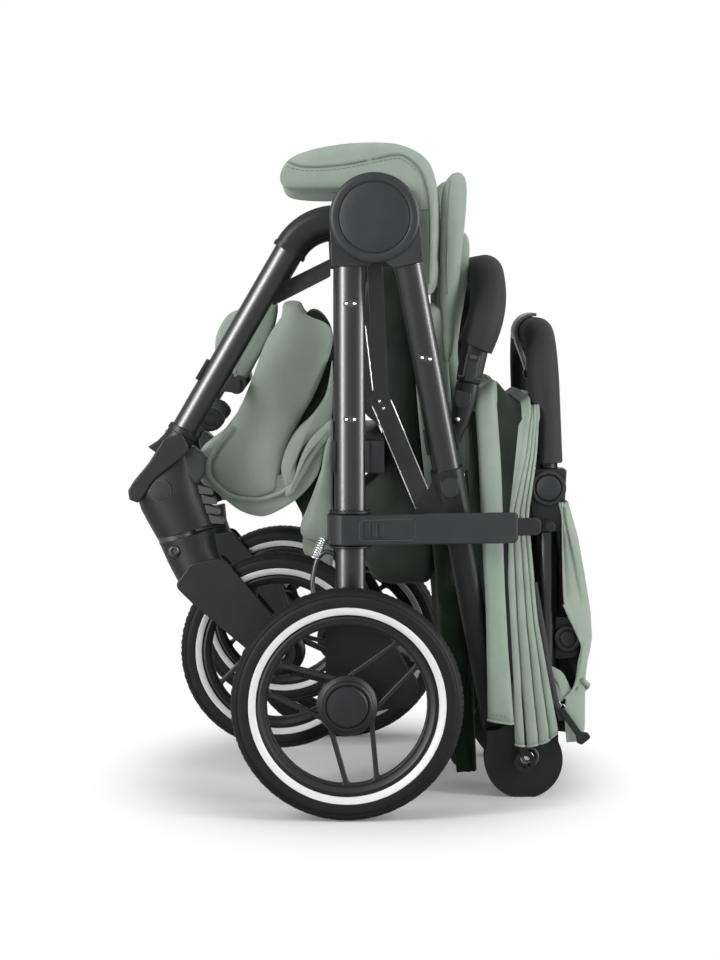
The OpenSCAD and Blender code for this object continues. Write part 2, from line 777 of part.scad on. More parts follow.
module grip_button_right() {
    color("#3a3b3e") mirror([0, 1, 0]) grip_button();
}

// The grip is a hoop that leans a little towards the frame
module in_grip() {
    translate([grip_joint.x, 0, grip_joint_z]) rotate([0, grip_lean, 0]) children();
}

module hoop(r, start) {
    side = handle_out - grip_bend;
    for (s = [-1, 1]) {
        translate([0, s * handle_out, start]) cylinder(r = r, h = grip_rise - grip_bend - start);
        translate([0, s * side, grip_rise - grip_bend]) rotate([90, 0, s > 0 ? 90 : -90])
            rotate_extrude(angle = 90) translate([grip_bend, 0]) circle(r = r);
    }
    translate([0, side, grip_rise]) rotate([90, 0, 0]) cylinder(r = r, h = 2 * side);
}

module grip_tube() {
    color("#26272a") {
        in_grip() hoop(handle_d / 2 - 1, 19);
        both() {
            disc_y(grip_joint.x, grip_joint_z, 16, handle_out - 6, handle_out + 6);
            in_grip() translate([-10, -handle_out - 5.9, 0]) cube([20, 11.8, 23]);
            disc_y(grip_joint.x, grip_joint_z, 5, handle_out - 13.9, handle_out + 8.2);
        }
    }
}

module grip_foam() {
    color("#222326") in_grip() difference() {
        hoop(grip_foam_d / 2, 23.3);
        hoop(handle_d / 2 - 1 + 0.05, 10);
    }
}

trigger_half = 32;

// A squeeze lever that wraps the front of the cross bar
module fold_trigger() {
    r = grip_foam_d / 2 + 0.4;
    color("#c9cac9") in_grip() translate([0, 0, grip_rise]) rotate([90, 0, 0]) {
        linear_extrude(2 * trigger_half, center = true) intersection() {
            difference() {
                circle(r = r + 4);
                circle(r = r);
            }
            polygon([[0, 0], [0, 60], [-60, 60], [-60, -60], [-35, -60]]);
        }
        linear_extrude(trigger_half, center = true) bar_2d([-9.6, -16.4], [-4.5, -47], 3.5);
    }
}

// ---- Bumper bar ----

bumper_lean = atan2(bumper_cross.x - bumper_foot.x, bumper_cross.y - bumper_foot.y);
bumper_rise = norm(bumper_cross - bumper_foot);
bumper_lug = 8.5;
bumper_arm_r = 11;
bumper_foam_start = 98.3;

module in_bumper() {
    translate([bumper_foot.x, 0, bumper_foot.y]) rotate([0, bumper_lean, 0]) children();
}

module bumper_hoop(r, start) {
    side = bumper_out - bumper_bend;
    for (s = [-1, 1]) {
        translate([0, s * bumper_out, start]) cylinder(r = r - 0.1, h = bumper_rise - bumper_bend - start + 0.5);
        translate([0, s * side, bumper_rise - bumper_bend]) rotate([90, 0, s > 0 ? 90 : -90])
            rotate_extrude(angle = 90) translate([bumper_bend, 0]) circle(r = r);
    }
    translate([0, side + 0.5, bumper_rise]) rotate([90, 0, 0]) cylinder(r = r - 0.1, h = 2 * side + 1);
}

// The core tube with its plastic end pieces, which hinge on the sockets
module bumper_bar() {
    color("#303134") difference() {
        union() {
            in_bumper() bumper_hoop(8, 60);
            both() {
                in_bumper() {
                    translate([0, -bumper_out, 24]) cylinder(r = bumper_arm_r, h = 60);
                    translate([0, -bumper_out, 60]) linear_extrude(bumper_foam_start - 60.3) oval(27, 24);
                }
                plate_y(belt(bumper_pivot, 10, bumper_foot + 34 * [sin(bumper_lean), cos(bumper_lean)], bumper_arm_r - 0.3),
                    bumper_out - bumper_lug + 0.2, bumper_out + bumper_lug - 0.2);
                disc_y(bumper_pivot.x, bumper_pivot.y, 10.3, bumper_out - bumper_lug, bumper_out + bumper_lug);
            }
        }
        both() {
            disc_y(bumper_pivot.x, bumper_pivot.y, 4 + run, 0, bumper_out + 30);
            bumper_button_at() cylinder(r = 7.1, h = 20);
        }
    }
}

module bumper_button_at() {
    in_bumper() translate([-3.5, -bumper_out - 5, 48]) rotate([90, 0, 0]) children();
}

module bumper_button() {
    bumper_button_at() translate([0, 0, 2]) cylinder(r = 7, h = 6.5);
}

module bumper_button_left() {
    color("#3a3b3e") bumper_button();
}

module bumper_button_right() {
    color("#3a3b3e") mirror([0, 1, 0]) bumper_button();
}

module bumper_foam() {
    color("#222326") in_bumper() difference() {
        bumper_hoop(bumper_foam_d / 2, bumper_foam_start);
        bumper_hoop(8.05, 40);
    }
}

// ---- Canopy ----

// A hoop that turns about the lower handle joints and holds the canopy open
module canopy_bow(lean, out) {
    long = 336;
    translate([joint_x, 0, joint_z]) {
        both() translate([0, -out, 0]) rotate([0, lean, 0]) rotate([90, 0, 0]) linear_extrude(bow_t) difference() {
            union() {
                circle(r = 10.5);
                translate([-4, 0]) square([8, long + 6.5]);
            }
            circle(r = 6 + run);
        }
        rotate([0, lean, 0]) translate([-3.5, -out - bow_t + 0.6, long]) cube([7, 2 * (out + bow_t) - 1.2, 6]);
    }
}

module canopy_bow_mid() {
    color("#303134") canopy_bow(-1, bow_out);
}

module canopy_bow_front() {
    color("#303134") canopy_bow(-6, bow_out + bow_t + gap);
}

module canopy_cloth() {
    outline = [[142, 74], [166, 62], [188, 66], [180, 250], [176, 390], [146, 392], [127, 380], [132, 250]];
    color("#a3b8a1") difference() {
        plate_y(outline, -canopy_half, canopy_half);
        plate_y([[100, 0], [220, 0], [220, 381], [100, 381]], -canopy_half + 3.6, canopy_half - 3.6);
    }
}

module canopy_back() {
    color("#8ea58c") plate_y([[213, 75], [236, 62], [243, 150], [232, 250], [223, 286], [216, 286], [217, 250],
        [216, 160]], -canopy_half + 8, canopy_half - 8);
}

module zip_pull() {
    color("#222326") plate_y([[216, 96], [222, 100], [243, 66], [247, 56], [237, 50], [234, 60]], canopy_half - 7.7,
        canopy_half - 4);
}

place() rear_legs();
place() rear_hub_plates();
place() hub_shaft();
place() axle_housings();
place() rear_axle_tube();
place() stub_axles();
place() rear_crossbar();
place() frame_rivets();
place() brake_cable();
place() lock_collar();
place() rear_tyre_left();
place() rear_rim_left();
place() rear_tyre_right();
place() rear_rim_right();
place() brake_pedal();
place() lock_strap();
place() lock_slide();
place() front_hub_plates();
place() front_tubes();
place() swivel_housings();
place() footrest_bar();
place() basket();
place() basket_strap();
place() fork_left();
place() fork_right();
place() front_tyre_left();
place() front_rim_left();
place() front_tyre_right();
place() front_rim_right();
place() pusher_hub_discs();
place() pusher_tubes();
place() pusher_sleeves();
place() pusher_bars();
place() lower_joint_plates();
place() joint_bolts();
place() braces();
place() bumper_sockets();
place() backrest();
place() side_wings();
place() seat_corner();
place() release_button_left();
place() release_button_right();
place() handle_joint_plates();
place() handle_tubes();
place() grip_housings();
place() canopy_back();
place() zip_pull();
place() grip_tube();
place() grip_foam();
place() grip_button_left();
place() grip_button_right();
place() fold_trigger();
place() bumper_bar();
place() bumper_foam();
place() bumper_button_left();
place() bumper_button_right();
place() seat_cushion();
place() canopy_bow_mid();
place() canopy_bow_front();
place() canopy_cloth();
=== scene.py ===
import json
from math import acos, atan2, ceil, cos, degrees, hypot, pi, radians, sin

import bmesh
import bpy
from mathutils import Matrix, Vector, noise


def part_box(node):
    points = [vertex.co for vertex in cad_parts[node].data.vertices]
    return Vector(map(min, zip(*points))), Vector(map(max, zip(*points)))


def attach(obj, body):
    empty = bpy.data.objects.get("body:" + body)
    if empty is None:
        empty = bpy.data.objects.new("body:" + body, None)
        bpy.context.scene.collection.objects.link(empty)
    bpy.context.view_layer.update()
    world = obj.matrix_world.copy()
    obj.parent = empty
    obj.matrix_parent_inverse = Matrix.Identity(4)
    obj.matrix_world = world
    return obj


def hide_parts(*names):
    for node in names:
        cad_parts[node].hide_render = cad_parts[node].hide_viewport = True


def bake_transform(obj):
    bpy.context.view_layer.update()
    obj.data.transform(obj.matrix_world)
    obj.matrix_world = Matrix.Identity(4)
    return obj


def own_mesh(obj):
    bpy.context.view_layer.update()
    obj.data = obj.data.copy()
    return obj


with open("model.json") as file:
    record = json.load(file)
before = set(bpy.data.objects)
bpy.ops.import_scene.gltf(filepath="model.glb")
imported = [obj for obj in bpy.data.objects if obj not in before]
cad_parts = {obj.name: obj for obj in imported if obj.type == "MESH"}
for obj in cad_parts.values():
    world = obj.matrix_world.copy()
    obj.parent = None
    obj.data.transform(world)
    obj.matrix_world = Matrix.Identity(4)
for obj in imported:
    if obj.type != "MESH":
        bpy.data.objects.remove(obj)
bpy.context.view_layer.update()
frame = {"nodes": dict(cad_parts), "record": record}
nodes = frame["nodes"]
nodeBody = {n: b for b, names in frame["record"]["behaviour"]["bodies"].items() for n in names}
nodeSlot = {s["node"]: s["material_slot"] for s in frame["record"]["subparts"]}
mm = 0.001


def centre(node):
    low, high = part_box(node)
    return (Vector(low) + Vector(high)) / 2


axle = centre("stub_axles")


# mm behind the rear axle, mm out to the child's left, mm above the ground
def at(x, out, z):
    return Vector((axle.x + x * mm, -out * mm, z * mm))


def place(node):
    c = centre(node)
    return ((c.x - axle.x) / mm, -c.y / mm, c.z / mm)


# camera, light and floor

studio = {
    "cameraAt": (-0.0447, -2.8034, 0.5036),
    "cameraTurn": (85.934, 0, -0.8334),
    "lens": 102.86,
    "keyPower": 39,
    "sidePower": 29,
    "leftStrip": 215,
    "rightStrip": 150,
    "topPower": 6,
    "skyLevel": 0.34,
    "paperNear": 0.12,
    "shadowFrom": 0.2,
    "shadowTo": 0.36,
    "shadowShape": (1.25, 0.8, 1),
}


def makeLamp(name, where, size, power, aim=(0, 0, 0.3)):
    data = bpy.data.lights.new(name, "AREA")
    data.shape = "RECTANGLE"
    data.size, data.size_y = size
    data.energy = power
    obj = bpy.data.objects.new(name, data)
    obj.location = where
    obj.rotation_euler = (Vector(aim) - Vector(where)).to_track_quat("-Z", "Y").to_euler()
    bpy.context.collection.objects.link(obj)
    return obj


# 1 for what the camera sees, straight or through a mirror or glass
def seenDirectly(tree):
    path = tree.nodes.new("ShaderNodeLightPath")
    first = tree.nodes.new("ShaderNodeMath")
    first.operation = "MAXIMUM"
    tree.links.new(path.outputs["Is Camera Ray"], first.inputs[0])
    tree.links.new(path.outputs["Is Glossy Ray"], first.inputs[1])
    second = tree.nodes.new("ShaderNodeMath")
    second.operation = "MAXIMUM"
    tree.links.new(first.outputs[0], second.inputs[0])
    tree.links.new(path.outputs["Is Transmission Ray"], second.inputs[1])
    return second.outputs[0]


def makeStudio():
    scene = bpy.context.scene
    scene.view_settings.view_transform = "Standard"
    cam = bpy.data.cameras.new("sideCamera")
    cam.lens = studio["lens"]
    cam.sensor_width = 36
    camObj = bpy.data.objects.new("sideCamera", cam)
    camObj.location = studio["cameraAt"]
    camObj.rotation_euler = [radians(a) for a in studio["cameraTurn"]]
    bpy.context.collection.objects.link(camObj)
    scene.camera = camObj

    makeLamp("keyLamp", (-1.9, -1.6, 1.5), (0.5, 2.0), studio["keyPower"])
    makeLamp("sideLamp", (2.0, -1.3, 1.0), (0.45, 1.9), studio["sidePower"])
    # narrow strips that only show as streaks on the tubes
    for name, where in (("leftStrip", (-1.75, -2.15, 0.75)), ("rightStrip", (2.35, -0.75, 0.75))):
        strip = makeLamp(name, where, (0.3, 2.4), studio[name])
        strip.visible_diffuse = False
        strip.visible_camera = False
    makeLamp("topLamp", (-0.2, -0.1, 2.3), (1.6, 1.2), studio["topPower"])

    world = bpy.data.worlds.new("studioWorld")
    scene.world = world
    world.use_nodes = True
    tree = world.node_tree
    back = tree.nodes["Background"]
    back.inputs["Color"].default_value = (1, 1, 1, 1)
    level = tree.nodes.new("ShaderNodeMapRange")
    level.inputs["To Min"].default_value = studio["skyLevel"]
    level.inputs["To Max"].default_value = 1.0
    tree.links.new(seenDirectly(tree), level.inputs["Value"])
    tree.links.new(level.outputs["Result"], back.inputs["Strength"])

    mesh = bpy.data.meshes.new("floor")
    mesh.from_pydata([(-30, -8, 0), (30, -8, 0), (30, 60, 0), (-30, 60, 0)], [], [(0, 1, 2, 3)])
    floor = bpy.data.objects.new("floor", mesh)
    bpy.context.collection.objects.link(floor)
    mat = bpy.data.materials.new("floorPaper")
    mat.use_nodes = True
    tree = mat.node_tree
    shader = tree.nodes["Principled BSDF"]
    shader.inputs["Base Color"].default_value = (0.97, 0.97, 0.97, 1)
    shader.inputs["Roughness"].default_value = 0.95
    shader.inputs["Specular IOR Level"].default_value = 0.0
    # plain white away from the stroller, with its shadow near the wheels
    coords = tree.nodes.new("ShaderNodeTexCoord")
    reach = tree.nodes.new("ShaderNodeVectorMath")
    reach.operation = "MULTIPLY"
    reach.inputs[1].default_value = studio["shadowShape"]
    far = tree.nodes.new("ShaderNodeVectorMath")
    far.operation = "LENGTH"
    fade = tree.nodes.new("ShaderNodeMapRange")
    fade.interpolation_type = "SMOOTHSTEP"
    fade.inputs["From Min"].default_value = studio["shadowFrom"]
    fade.inputs["From Max"].default_value = studio["shadowTo"]
    fade.inputs["To Min"].default_value = studio["paperNear"]
    fade.inputs["To Max"].default_value = 1.0
    amount = tree.nodes.new("ShaderNodeMath")
    amount.operation = "MULTIPLY"
    glow = tree.nodes.new("ShaderNodeEmission")
    mix = tree.nodes.new("ShaderNodeMixShader")
    tree.links.new(coords.outputs["Object"], reach.inputs[0])
    tree.links.new(reach.outputs["Vector"], far.inputs[0])
    tree.links.new(far.outputs["Value"], fade.inputs["Value"])
    tree.links.new(fade.outputs["Result"], amount.inputs[0])
    tree.links.new(seenDirectly(tree), amount.inputs[1])
    tree.links.new(amount.outputs[0], mix.inputs["Fac"])
    tree.links.new(shader.outputs[0], mix.inputs[1])
    tree.links.new(glow.outputs[0], mix.inputs[2])
    tree.links.new(mix.outputs[0], tree.nodes["Material Output"].inputs["Surface"])
    floor.data.materials.append(mat)
    print("stage: camera, lamps and floor")


makeStudio()


# finishes
class Finish:
    def __init__(self, name, colour, rough=0.5, metal=0.0, specular=0.5, sheen=0.0):
        self.mat = bpy.data.materials.new(name)
        self.mat.use_nodes = True
        self.tree = self.mat.node_tree
        self.shader = self.tree.nodes["Principled BSDF"]
        self.shader.inputs["Base Color"].default_value = (*colour, 1)
        self.shader.inputs["Roughness"].default_value = rough
        self.shader.inputs["Metallic"].default_value = metal
        self.shader.inputs["Specular IOR Level"].default_value = specular
        self.shader.inputs["Sheen Weight"].default_value = sheen
        self.coords = self.tree.nodes.new("ShaderNodeTexCoord").outputs["Object"]
        self.normal = None

    def node(self, kind, **values):
        n = self.tree.nodes.new(kind)
        for key, value in values.items():
            if key in n.inputs:
                n.inputs[key].default_value = value
            else:
                setattr(n, key, value)
        return n

    def link(self, a, b):
        self.tree.links.new(a, b)

    def noise(self, scale, detail=3, rough=0.5, stretch=None):
        n = self.node("ShaderNodeTexNoise", Scale=scale, Detail=detail, Roughness=rough)
        if stretch:
            m = self.node("ShaderNodeMapping")
            m.inputs["Scale"].default_value = stretch
            self.link(self.coords, m.inputs["Vector"])
            self.link(m.outputs["Vector"], n.inputs["Vector"])
        else:
            self.link(self.coords, n.inputs["Vector"])
        return n.outputs["Fac"]

    # the base colour wanders between two tones
    def tones(self, fac, dark, light, low=0.3, high=0.7):
        ramp = self.node("ShaderNodeValToRGB")
        ramp.color_ramp.elements[0].position = low
        ramp.color_ramp.elements[0].color = (*dark, 1)
        ramp.color_ramp.elements[1].position = high
        ramp.color_ramp.elements[1].color = (*light, 1)
        self.link(fac, ramp.inputs["Fac"])
        self.link(ramp.outputs["Color"], self.shader.inputs["Base Color"])

    def roughBetween(self, fac, low, high):
        m = self.node("ShaderNodeMapRange")
        m.inputs["To Min"].default_value = low
        m.inputs["To Max"].default_value = high
        self.link(fac, m.inputs["Value"])
        self.link(m.outputs["Result"], self.shader.inputs["Roughness"])

    def bump(self, height, strength, distance=0.001):
        b = self.node("ShaderNodeBump", Strength=strength, Distance=distance)
        self.link(height, b.inputs["Height"])
        if self.normal:
            self.link(self.normal, b.inputs["Normal"])
        self.normal = b.outputs["Normal"]
        self.link(self.normal, self.shader.inputs["Normal"])

    # crossed threads, the same on every side of a piece
    def weave(self, scale, strength, distance):
        waves = []
        for axis in ("X", "Y", "Z"):
            w = self.node("ShaderNodeTexWave", Scale=scale, bands_direction=axis)
            self.link(self.coords, w.inputs["Vector"])
            waves.append(w.outputs["Fac"])
        first = self.node("ShaderNodeMath", operation="MULTIPLY")
        self.link(waves[0], first.inputs[0])
        self.link(waves[1], first.inputs[1])
        both = self.node("ShaderNodeMath", operation="ADD")
        self.link(first.outputs[0], both.inputs[0])
        self.link(waves[2], both.inputs[1])
        self.bump(both.outputs[0], strength, distance)


finishLook = {
    "tubeDark": (0.004, 0.0042, 0.0048),
    "tubeLight": (0.006, 0.0063, 0.007),
    "plasticDark": (0.0115, 0.012, 0.0132),
    "plasticLight": (0.016, 0.0165, 0.0178),
    "discDark": (0.022, 0.0245, 0.026),
    "discLight": (0.031, 0.0315, 0.033),
    "tyreDark": (0.002, 0.0021, 0.0024),
    "tyreLight": (0.005, 0.0052, 0.0057),
    "foamDark": (0.0055, 0.0057, 0.0063),
    "foamLight": (0.0105, 0.0108, 0.0118),
    "sageDark": (0.3, 0.365, 0.305),
    "sageLight": (0.36, 0.43, 0.365),
    "stitch": (0.2, 0.25, 0.205),
    # darker sage tones: painted shade for cloth that lies in shade
    "underDark": (0.005, 0.011, 0.0055),
    "underLight": (0.017, 0.031, 0.018),
    "webDark": (0.014, 0.014, 0.015),
    "webLight": (0.026, 0.026, 0.028),
    "stripe": (0.8, 0.8, 0.81),
    "trigger": (0.15, 0.153, 0.157),
}


def makeFinishes():
    look = finishLook
    made = {}

    def plastic(name, dark, light, rough=(0.4, 0.52), grain=0.12):
        f = Finish(name, light, 0.48, 0.0, 0.17)
        f.tones(f.noise(45), dark, light)
        f.roughBetween(f.noise(300), *rough)
        f.bump(f.noise(2600, 2), grain, 0.0003)
        return f.mat

    tube = Finish("satinTube", look["tubeLight"], 0.3, 0.0, 0.46)
    tube.tones(tube.noise(60), look["tubeDark"], look["tubeLight"])
    tube.roughBetween(tube.noise(120, stretch=(1, 1, 0.1)), 0.31, 0.34)
    tube.bump(tube.noise(900), 0.02, 0.0002)
    made["satin_black_tube"] = tube.mat
    made["black_plastic"] = plastic("mouldedPlastic", look["plasticDark"], look["plasticLight"])
    made["disc_plastic"] = plastic("hubDiscPlastic", look["discDark"], look["discLight"], (0.42, 0.5))
    made["grey_plastic"] = plastic("pressedGreyPlastic", look["trigger"], look["trigger"], (0.32, 0.4))

    tyre = Finish("tyreRubber", look["tyreLight"], 0.7, 0.0, 0.13)
    tyre.tones(tyre.noise(80), look["tyreDark"], look["tyreLight"])
    tyre.roughBetween(tyre.noise(400), 0.55, 0.75)
    tyre.bump(tyre.noise(1800, 3), 0.3, 0.0004)
    made["tyre"] = tyre.mat
    stripe = Finish("whiteTyreBand", look["stripe"], 0.45, 0.0, 0.4)
    stripe.tones(stripe.noise(200), [c * 0.96 for c in look["stripe"]], look["stripe"])
    stripe.bump(stripe.noise(900, 2), 0.05, 0.0002)
    made["stripe"] = stripe.mat

    foam = Finish("gripFoam", look["foamLight"], 0.75, 0.0, 0.22, 0.05)
    foam.tones(foam.noise(900), look["foamDark"], look["foamLight"])
    foam.bump(foam.noise(2600, 2), 0.35, 0.0004)
    made["foam"] = foam.mat

    steel = Finish("zincSteel", (0.6, 0.6, 0.61), 0.3, 1.0)
    steel.roughBetween(steel.noise(300), 0.22, 0.36)
    steel.bump(steel.noise(1200), 0.04, 0.0002)
    made["steel"] = steel.mat
    chrome = Finish("polishedRivet", (0.85, 0.85, 0.86), 0.12, 1.0)
    chrome.roughBetween(chrome.noise(200), 0.08, 0.2)
    made["chrome"] = chrome.mat
    bolt = Finish("darkZincBolt", (0.2, 0.2, 0.21), 0.2, 1.0)
    bolt.roughBetween(bolt.noise(250), 0.14, 0.26)
    bolt.bump(bolt.noise(900), 0.04, 0.0002)
    made["bolt"] = bolt.mat

    sage = Finish("sageCloth", look["sageLight"], 0.82, 0.0, 0.14, 0.2)
    sage.tones(sage.noise(28, 5), look["sageDark"], look["sageLight"])
    sage.roughBetween(sage.noise(180), 0.74, 0.88)
    sage.bump(sage.noise(16, 4, 0.55), 0.3, 0.006)
    sage.bump(sage.noise(60, 4), 0.3, 0.0016)
    sage.weave(520, 0.12, 0.00025)
    made["sage_fabric"] = sage.mat
    # the same sage cloth made darker, as painted shade for folds, hollows and cloth under other parts
    paintedShade = Finish("shadedSageCloth", look["underLight"], 0.85, 0.0, 0.1, 0.1)
    paintedShade.tones(paintedShade.noise(24, 5), look["underDark"], look["underLight"])
    paintedShade.bump(paintedShade.noise(45, 4), 0.3, 0.0014)
    paintedShade.weave(520, 0.12, 0.00025)
    made["under_fabric"] = paintedShade.mat
    stitch = Finish("sageStitching", look["stitch"], 0.9)
    stitch.tones(stitch.noise(1500), [c * 0.8 for c in look["stitch"]], look["stitch"])
    stitch.bump(stitch.noise(2200), 0.4, 0.0003)
    made["stitch"] = stitch.mat
    lining = Finish("darkLining", (0.03, 0.034, 0.03), 0.9, 0.0, 0.2, 0.1)
    lining.tones(lining.noise(40), (0.022, 0.025, 0.022), (0.035, 0.04, 0.035))
    lining.weave(420, 0.2, 0.0003)
    made["lining"] = lining.mat
    web = Finish("blackWebbing", look["webLight"], 0.75, 0.0, 0.3, 0.1)
    web.tones(web.noise(120), look["webDark"], look["webLight"])
    web.weave(700, 0.5, 0.0004)
    made["webbing"] = web.mat
    cable = Finish("cableSheath", (0.02, 0.02, 0.021), 0.45)
    cable.tones(cable.noise(300), (0.014, 0.014, 0.015), (0.024, 0.024, 0.025))
    cable.bump(cable.noise(1500), 0.1, 0.0002)
    made["cable"] = cable.mat
    print("stage: finishes")
    return made


finishes = makeFinishes()


# shapes, all in mm: x behind the rear axle, out to the child's left, z above the ground
class Shape:
    def __init__(self, points=(), faces=()):
        self.points = [tuple(p) for p in points]
        self.faces = [tuple(f) for f in faces]

    def __add__(self, other):
        n = len(self.points)
        faces = [tuple(i + n for i in f) for f in other.faces]
        return Shape(self.points + other.points, self.faces + faces)

    # the same shape on the child's right as well
    def both(self):
        return self + self.mirror()

    def mirror(self):
        return Shape([(x, -out, z) for x, out, z in self.points], [f[::-1] for f in self.faces])


# skins a list of rings that have the same number of points
def loft(rings, caps=True, wrap=False):
    n = len(rings[0])
    points = [p for r in rings for p in r]
    faces = []
    for i in range(len(rings) if wrap else len(rings) - 1):
        a, b = i * n, (i + 1) % len(rings) * n
        faces += [(a + k, a + (k + 1) % n, b + (k + 1) % n, b + k) for k in range(n)]
    if caps and not wrap:
        faces.append(tuple(range(n))[::-1])
        faces.append(tuple(range((len(rings) - 1) * n, len(rings) * n)))
    return Shape(points, faces)


# an open sheet from rows of points
def sheetOf(rows):
    n = len(rows[0])
    faces = [(i * n + k, i * n + k + 1, (i + 1) * n + k + 1, (i + 1) * n + k)
             for i in range(len(rows) - 1) for k in range(n - 1)]
    return Shape([p for r in rows for p in r], faces)


# a profile of (radius, out) turned about an axle that runs across the stroller
def lathe(profile, x, z, steps=96, wrap=False, flutes=None):
    rings = []
    for r, out in profile:
        ring = []
        for k in range(steps):
            a = 2 * pi * k / steps
            q = flutes(r, k) if flutes else r
            ring.append((x + q * cos(a), out, z + q * sin(a)))
        rings.append(ring)
    return loft(rings, not wrap, wrap)


# corners given as (x, z) or (x, z, radius); a radius rounds the corner
def rounded(corners, step=14):
    out = []
    n = len(corners)
    for i, c in enumerate(corners):
        p = Vector(c[:2])
        r = c[2] if len(c) > 2 else 0
        a = Vector(corners[i - 1][:2]) - p
        b = Vector(corners[(i + 1) % n][:2]) - p
        turn = pi - a.angle(b)
        if r <= 0 or turn < 0.02:
            out.append(tuple(p))
            continue
        reach = min(r * abs(sin(turn / 2) / cos(turn / 2)), a.length * 0.49, b.length * 0.49)
        start, end = p + a.normalized() * reach, p + b.normalized() * reach
        count = max(2, int(ceil(degrees(turn) / step)))
        for k in range(count + 1):
            t = k / count
            out.append(tuple(start * (1 - t) ** 2 + p * 2 * t * (1 - t) + end * t ** 2))
    return out


def areaOf(outline):
    return sum(a[0] * b[1] - b[0] * a[1] for a, b in zip(outline, outline[1:] + outline[:1])) / 2


# a flat plate cut from a side-view outline
def plate(outline, out0, out1):
    outline = list(outline)
    if areaOf(outline) > 0:
        outline.reverse()
    return loft([[(x, o, z) for x, z in outline] for o in (out0, out1)])


def discOutline(x, z, r, steps=48):
    return [(x + r * cos(2 * pi * k / steps), z + r * sin(2 * pi * k / steps)) for k in range(steps)]


# a smooth curve through points, as an even chain
def smoothPath(points, gap, closed=False):
    pts = [Vector(p) for p in points]
    n = len(pts)
    fine = []
    spans = n if closed else n - 1
    for i in range(spans):
        p1, p2 = pts[i], pts[(i + 1) % n]
        p0 = pts[i - 1] if closed or i else p1 * 2 - p2
        p3 = pts[(i + 2) % n] if closed or i + 2 < n else p2 * 2 - p1
        steps = max(2, int((p2 - p1).length / gap))
        for k in range(steps):
            t = k / steps
            fine.append(((p1 * 2) + (p2 - p0) * t + (p0 * 2 - p1 * 5 + p2 * 4 - p3) * t * t
                         + (p1 * 3 - p0 - p2 * 3 + p3) * t ** 3) / 2)
    if not closed:
        fine.append(pts[-1])
    return fine


# a section of (across, along) pairs carried along a path, where across starts as the side view's normal
def sweep(path, section, closed=False, lean=Vector((0, 1, 0)), sizes=None):
    path = [Vector(p) for p in path]
    n = len(path)
    rings = []
    side = lean.normalized()
    for i in range(n):
        a = path[i - 1] if (i or closed) else path[i]
        b = path[(i + 1) % n] if (i < n - 1 or closed) else path[i]
        t = (b - a).normalized()
        side = (side - t * side.dot(t)).normalized()
        up = t.cross(side)
        size = sizes(i / (n - 1)) if sizes else 1
        rings.append([tuple(path[i] + side * u * size + up * v * size) for u, v in section])
    return loft(rings, not closed, closed)


def roundSection(r, steps=16, squeeze=1.0):
    return [(r * cos(2 * pi * k / steps), r * squeeze * sin(2 * pi * k / steps)) for k in range(steps)]


def boxSection(w, t, r=0.0):
    if r <= 0:
        return [(w / 2, -t / 2), (w / 2, t / 2), (-w / 2, t / 2), (-w / 2, -t / 2)]
    return rounded([(w / 2, -t / 2, r), (w / 2, t / 2, r), (-w / 2, t / 2, r), (-w / 2, -t / 2, r)], 30)


def build(name, shape, body, finish, smooth=40, bevel=0, steps=3, levels=0, thick=0, stands=()):
    mesh = bpy.data.meshes.new(name)
    mesh.from_pydata([at(*p) for p in shape.points], [], shape.faces)
    mesh.validate()
    bm = bmesh.new()
    bm.from_mesh(mesh)
    bmesh.ops.remove_doubles(bm, verts=bm.verts, dist=1e-6)
    bmesh.ops.dissolve_degenerate(bm, edges=bm.edges, dist=1e-7)
    if thick == 0:
        bmesh.ops.recalc_face_normals(bm, faces=bm.faces)
    bm.to_mesh(mesh)
    bm.free()
    obj = bpy.data.objects.new(name, mesh)
    bpy.context.collection.objects.link(obj)
    finishPiece(obj, body, finish, smooth, bevel, steps, levels, thick, stands)
    return obj


def finishPiece(obj, body, finish, smooth=40, bevel=0, steps=3, levels=0, thick=0, stands=()):
    mesh = obj.data
    mesh.polygons.foreach_set("use_smooth", [True] * len(mesh.polygons))
    if thick:
        m = obj.modifiers.new("clothThickness", "SOLIDIFY")
        m.thickness = thick * mm
        m.offset = 0
    if levels:
        m = obj.modifiers.new("softness", "SUBSURF")
        m.levels = m.render_levels = levels
    if bevel:
        m = obj.modifiers.new("softEdges", "BEVEL")
        m.width = bevel * mm
        m.segments = steps
        m.limit_method = "ANGLE"
        m.angle_limit = radians(32)
        m.harden_normals = True
        m.use_clamp_overlap = True
    if not levels:
        mesh.set_sharp_from_angle(angle=radians(smooth))
    mesh.materials.clear()
    mesh.materials.append(finishes[finish])
    if body:
        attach(obj, body)
    if stands:
        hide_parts(*stands)


# a node's own shape with softened edges
def soften(node, width, finish=None, name=None, hide=True):
    src = nodes[node].data
    mesh = src.copy()
    bm = bmesh.new()
    bm.from_mesh(mesh)
    bmesh.ops.remove_doubles(bm, verts=bm.verts, dist=2e-6)
    bmesh.ops.dissolve_limit(bm, angle_limit=radians(0.6), verts=bm.verts, edges=bm.edges)
    bm.to_mesh(mesh)
    bm.free()
    if mesh.has_custom_normals:
        mesh.normals_split_custom_set([(0, 0, 0)] * len(mesh.loops))
    words = node.split("_")
    obj = bpy.data.objects.new(name or words[0] + "".join(w.capitalize() for w in words[1:]), mesh)
    bpy.context.collection.objects.link(obj)
    slotName = nodeSlot[node]
    finishPiece(obj, nodeBody[node], finish or slotName, 32, width, 3,
                stands=[node] if hide else ())
    return obj


# takes off what lies further out than a given width, so the tube in front stays clear
def trimOutside(obj, out):
    bm = bmesh.new()
    bm.from_mesh(obj.data)
    for side in (1, -1):
        cut = bmesh.ops.bisect_plane(bm, geom=bm.verts[:] + bm.edges[:] + bm.faces[:], dist=1e-6,
                                     plane_co=at(0, side * out, 0), plane_no=(0, -side, 0),
                                     clear_outer=True)
        bmesh.ops.holes_fill(bm, edges=[e for e in cut["geom_cut"] if isinstance(e, bmesh.types.BMEdge)])
    bm.to_mesh(obj.data)
    bm.free()


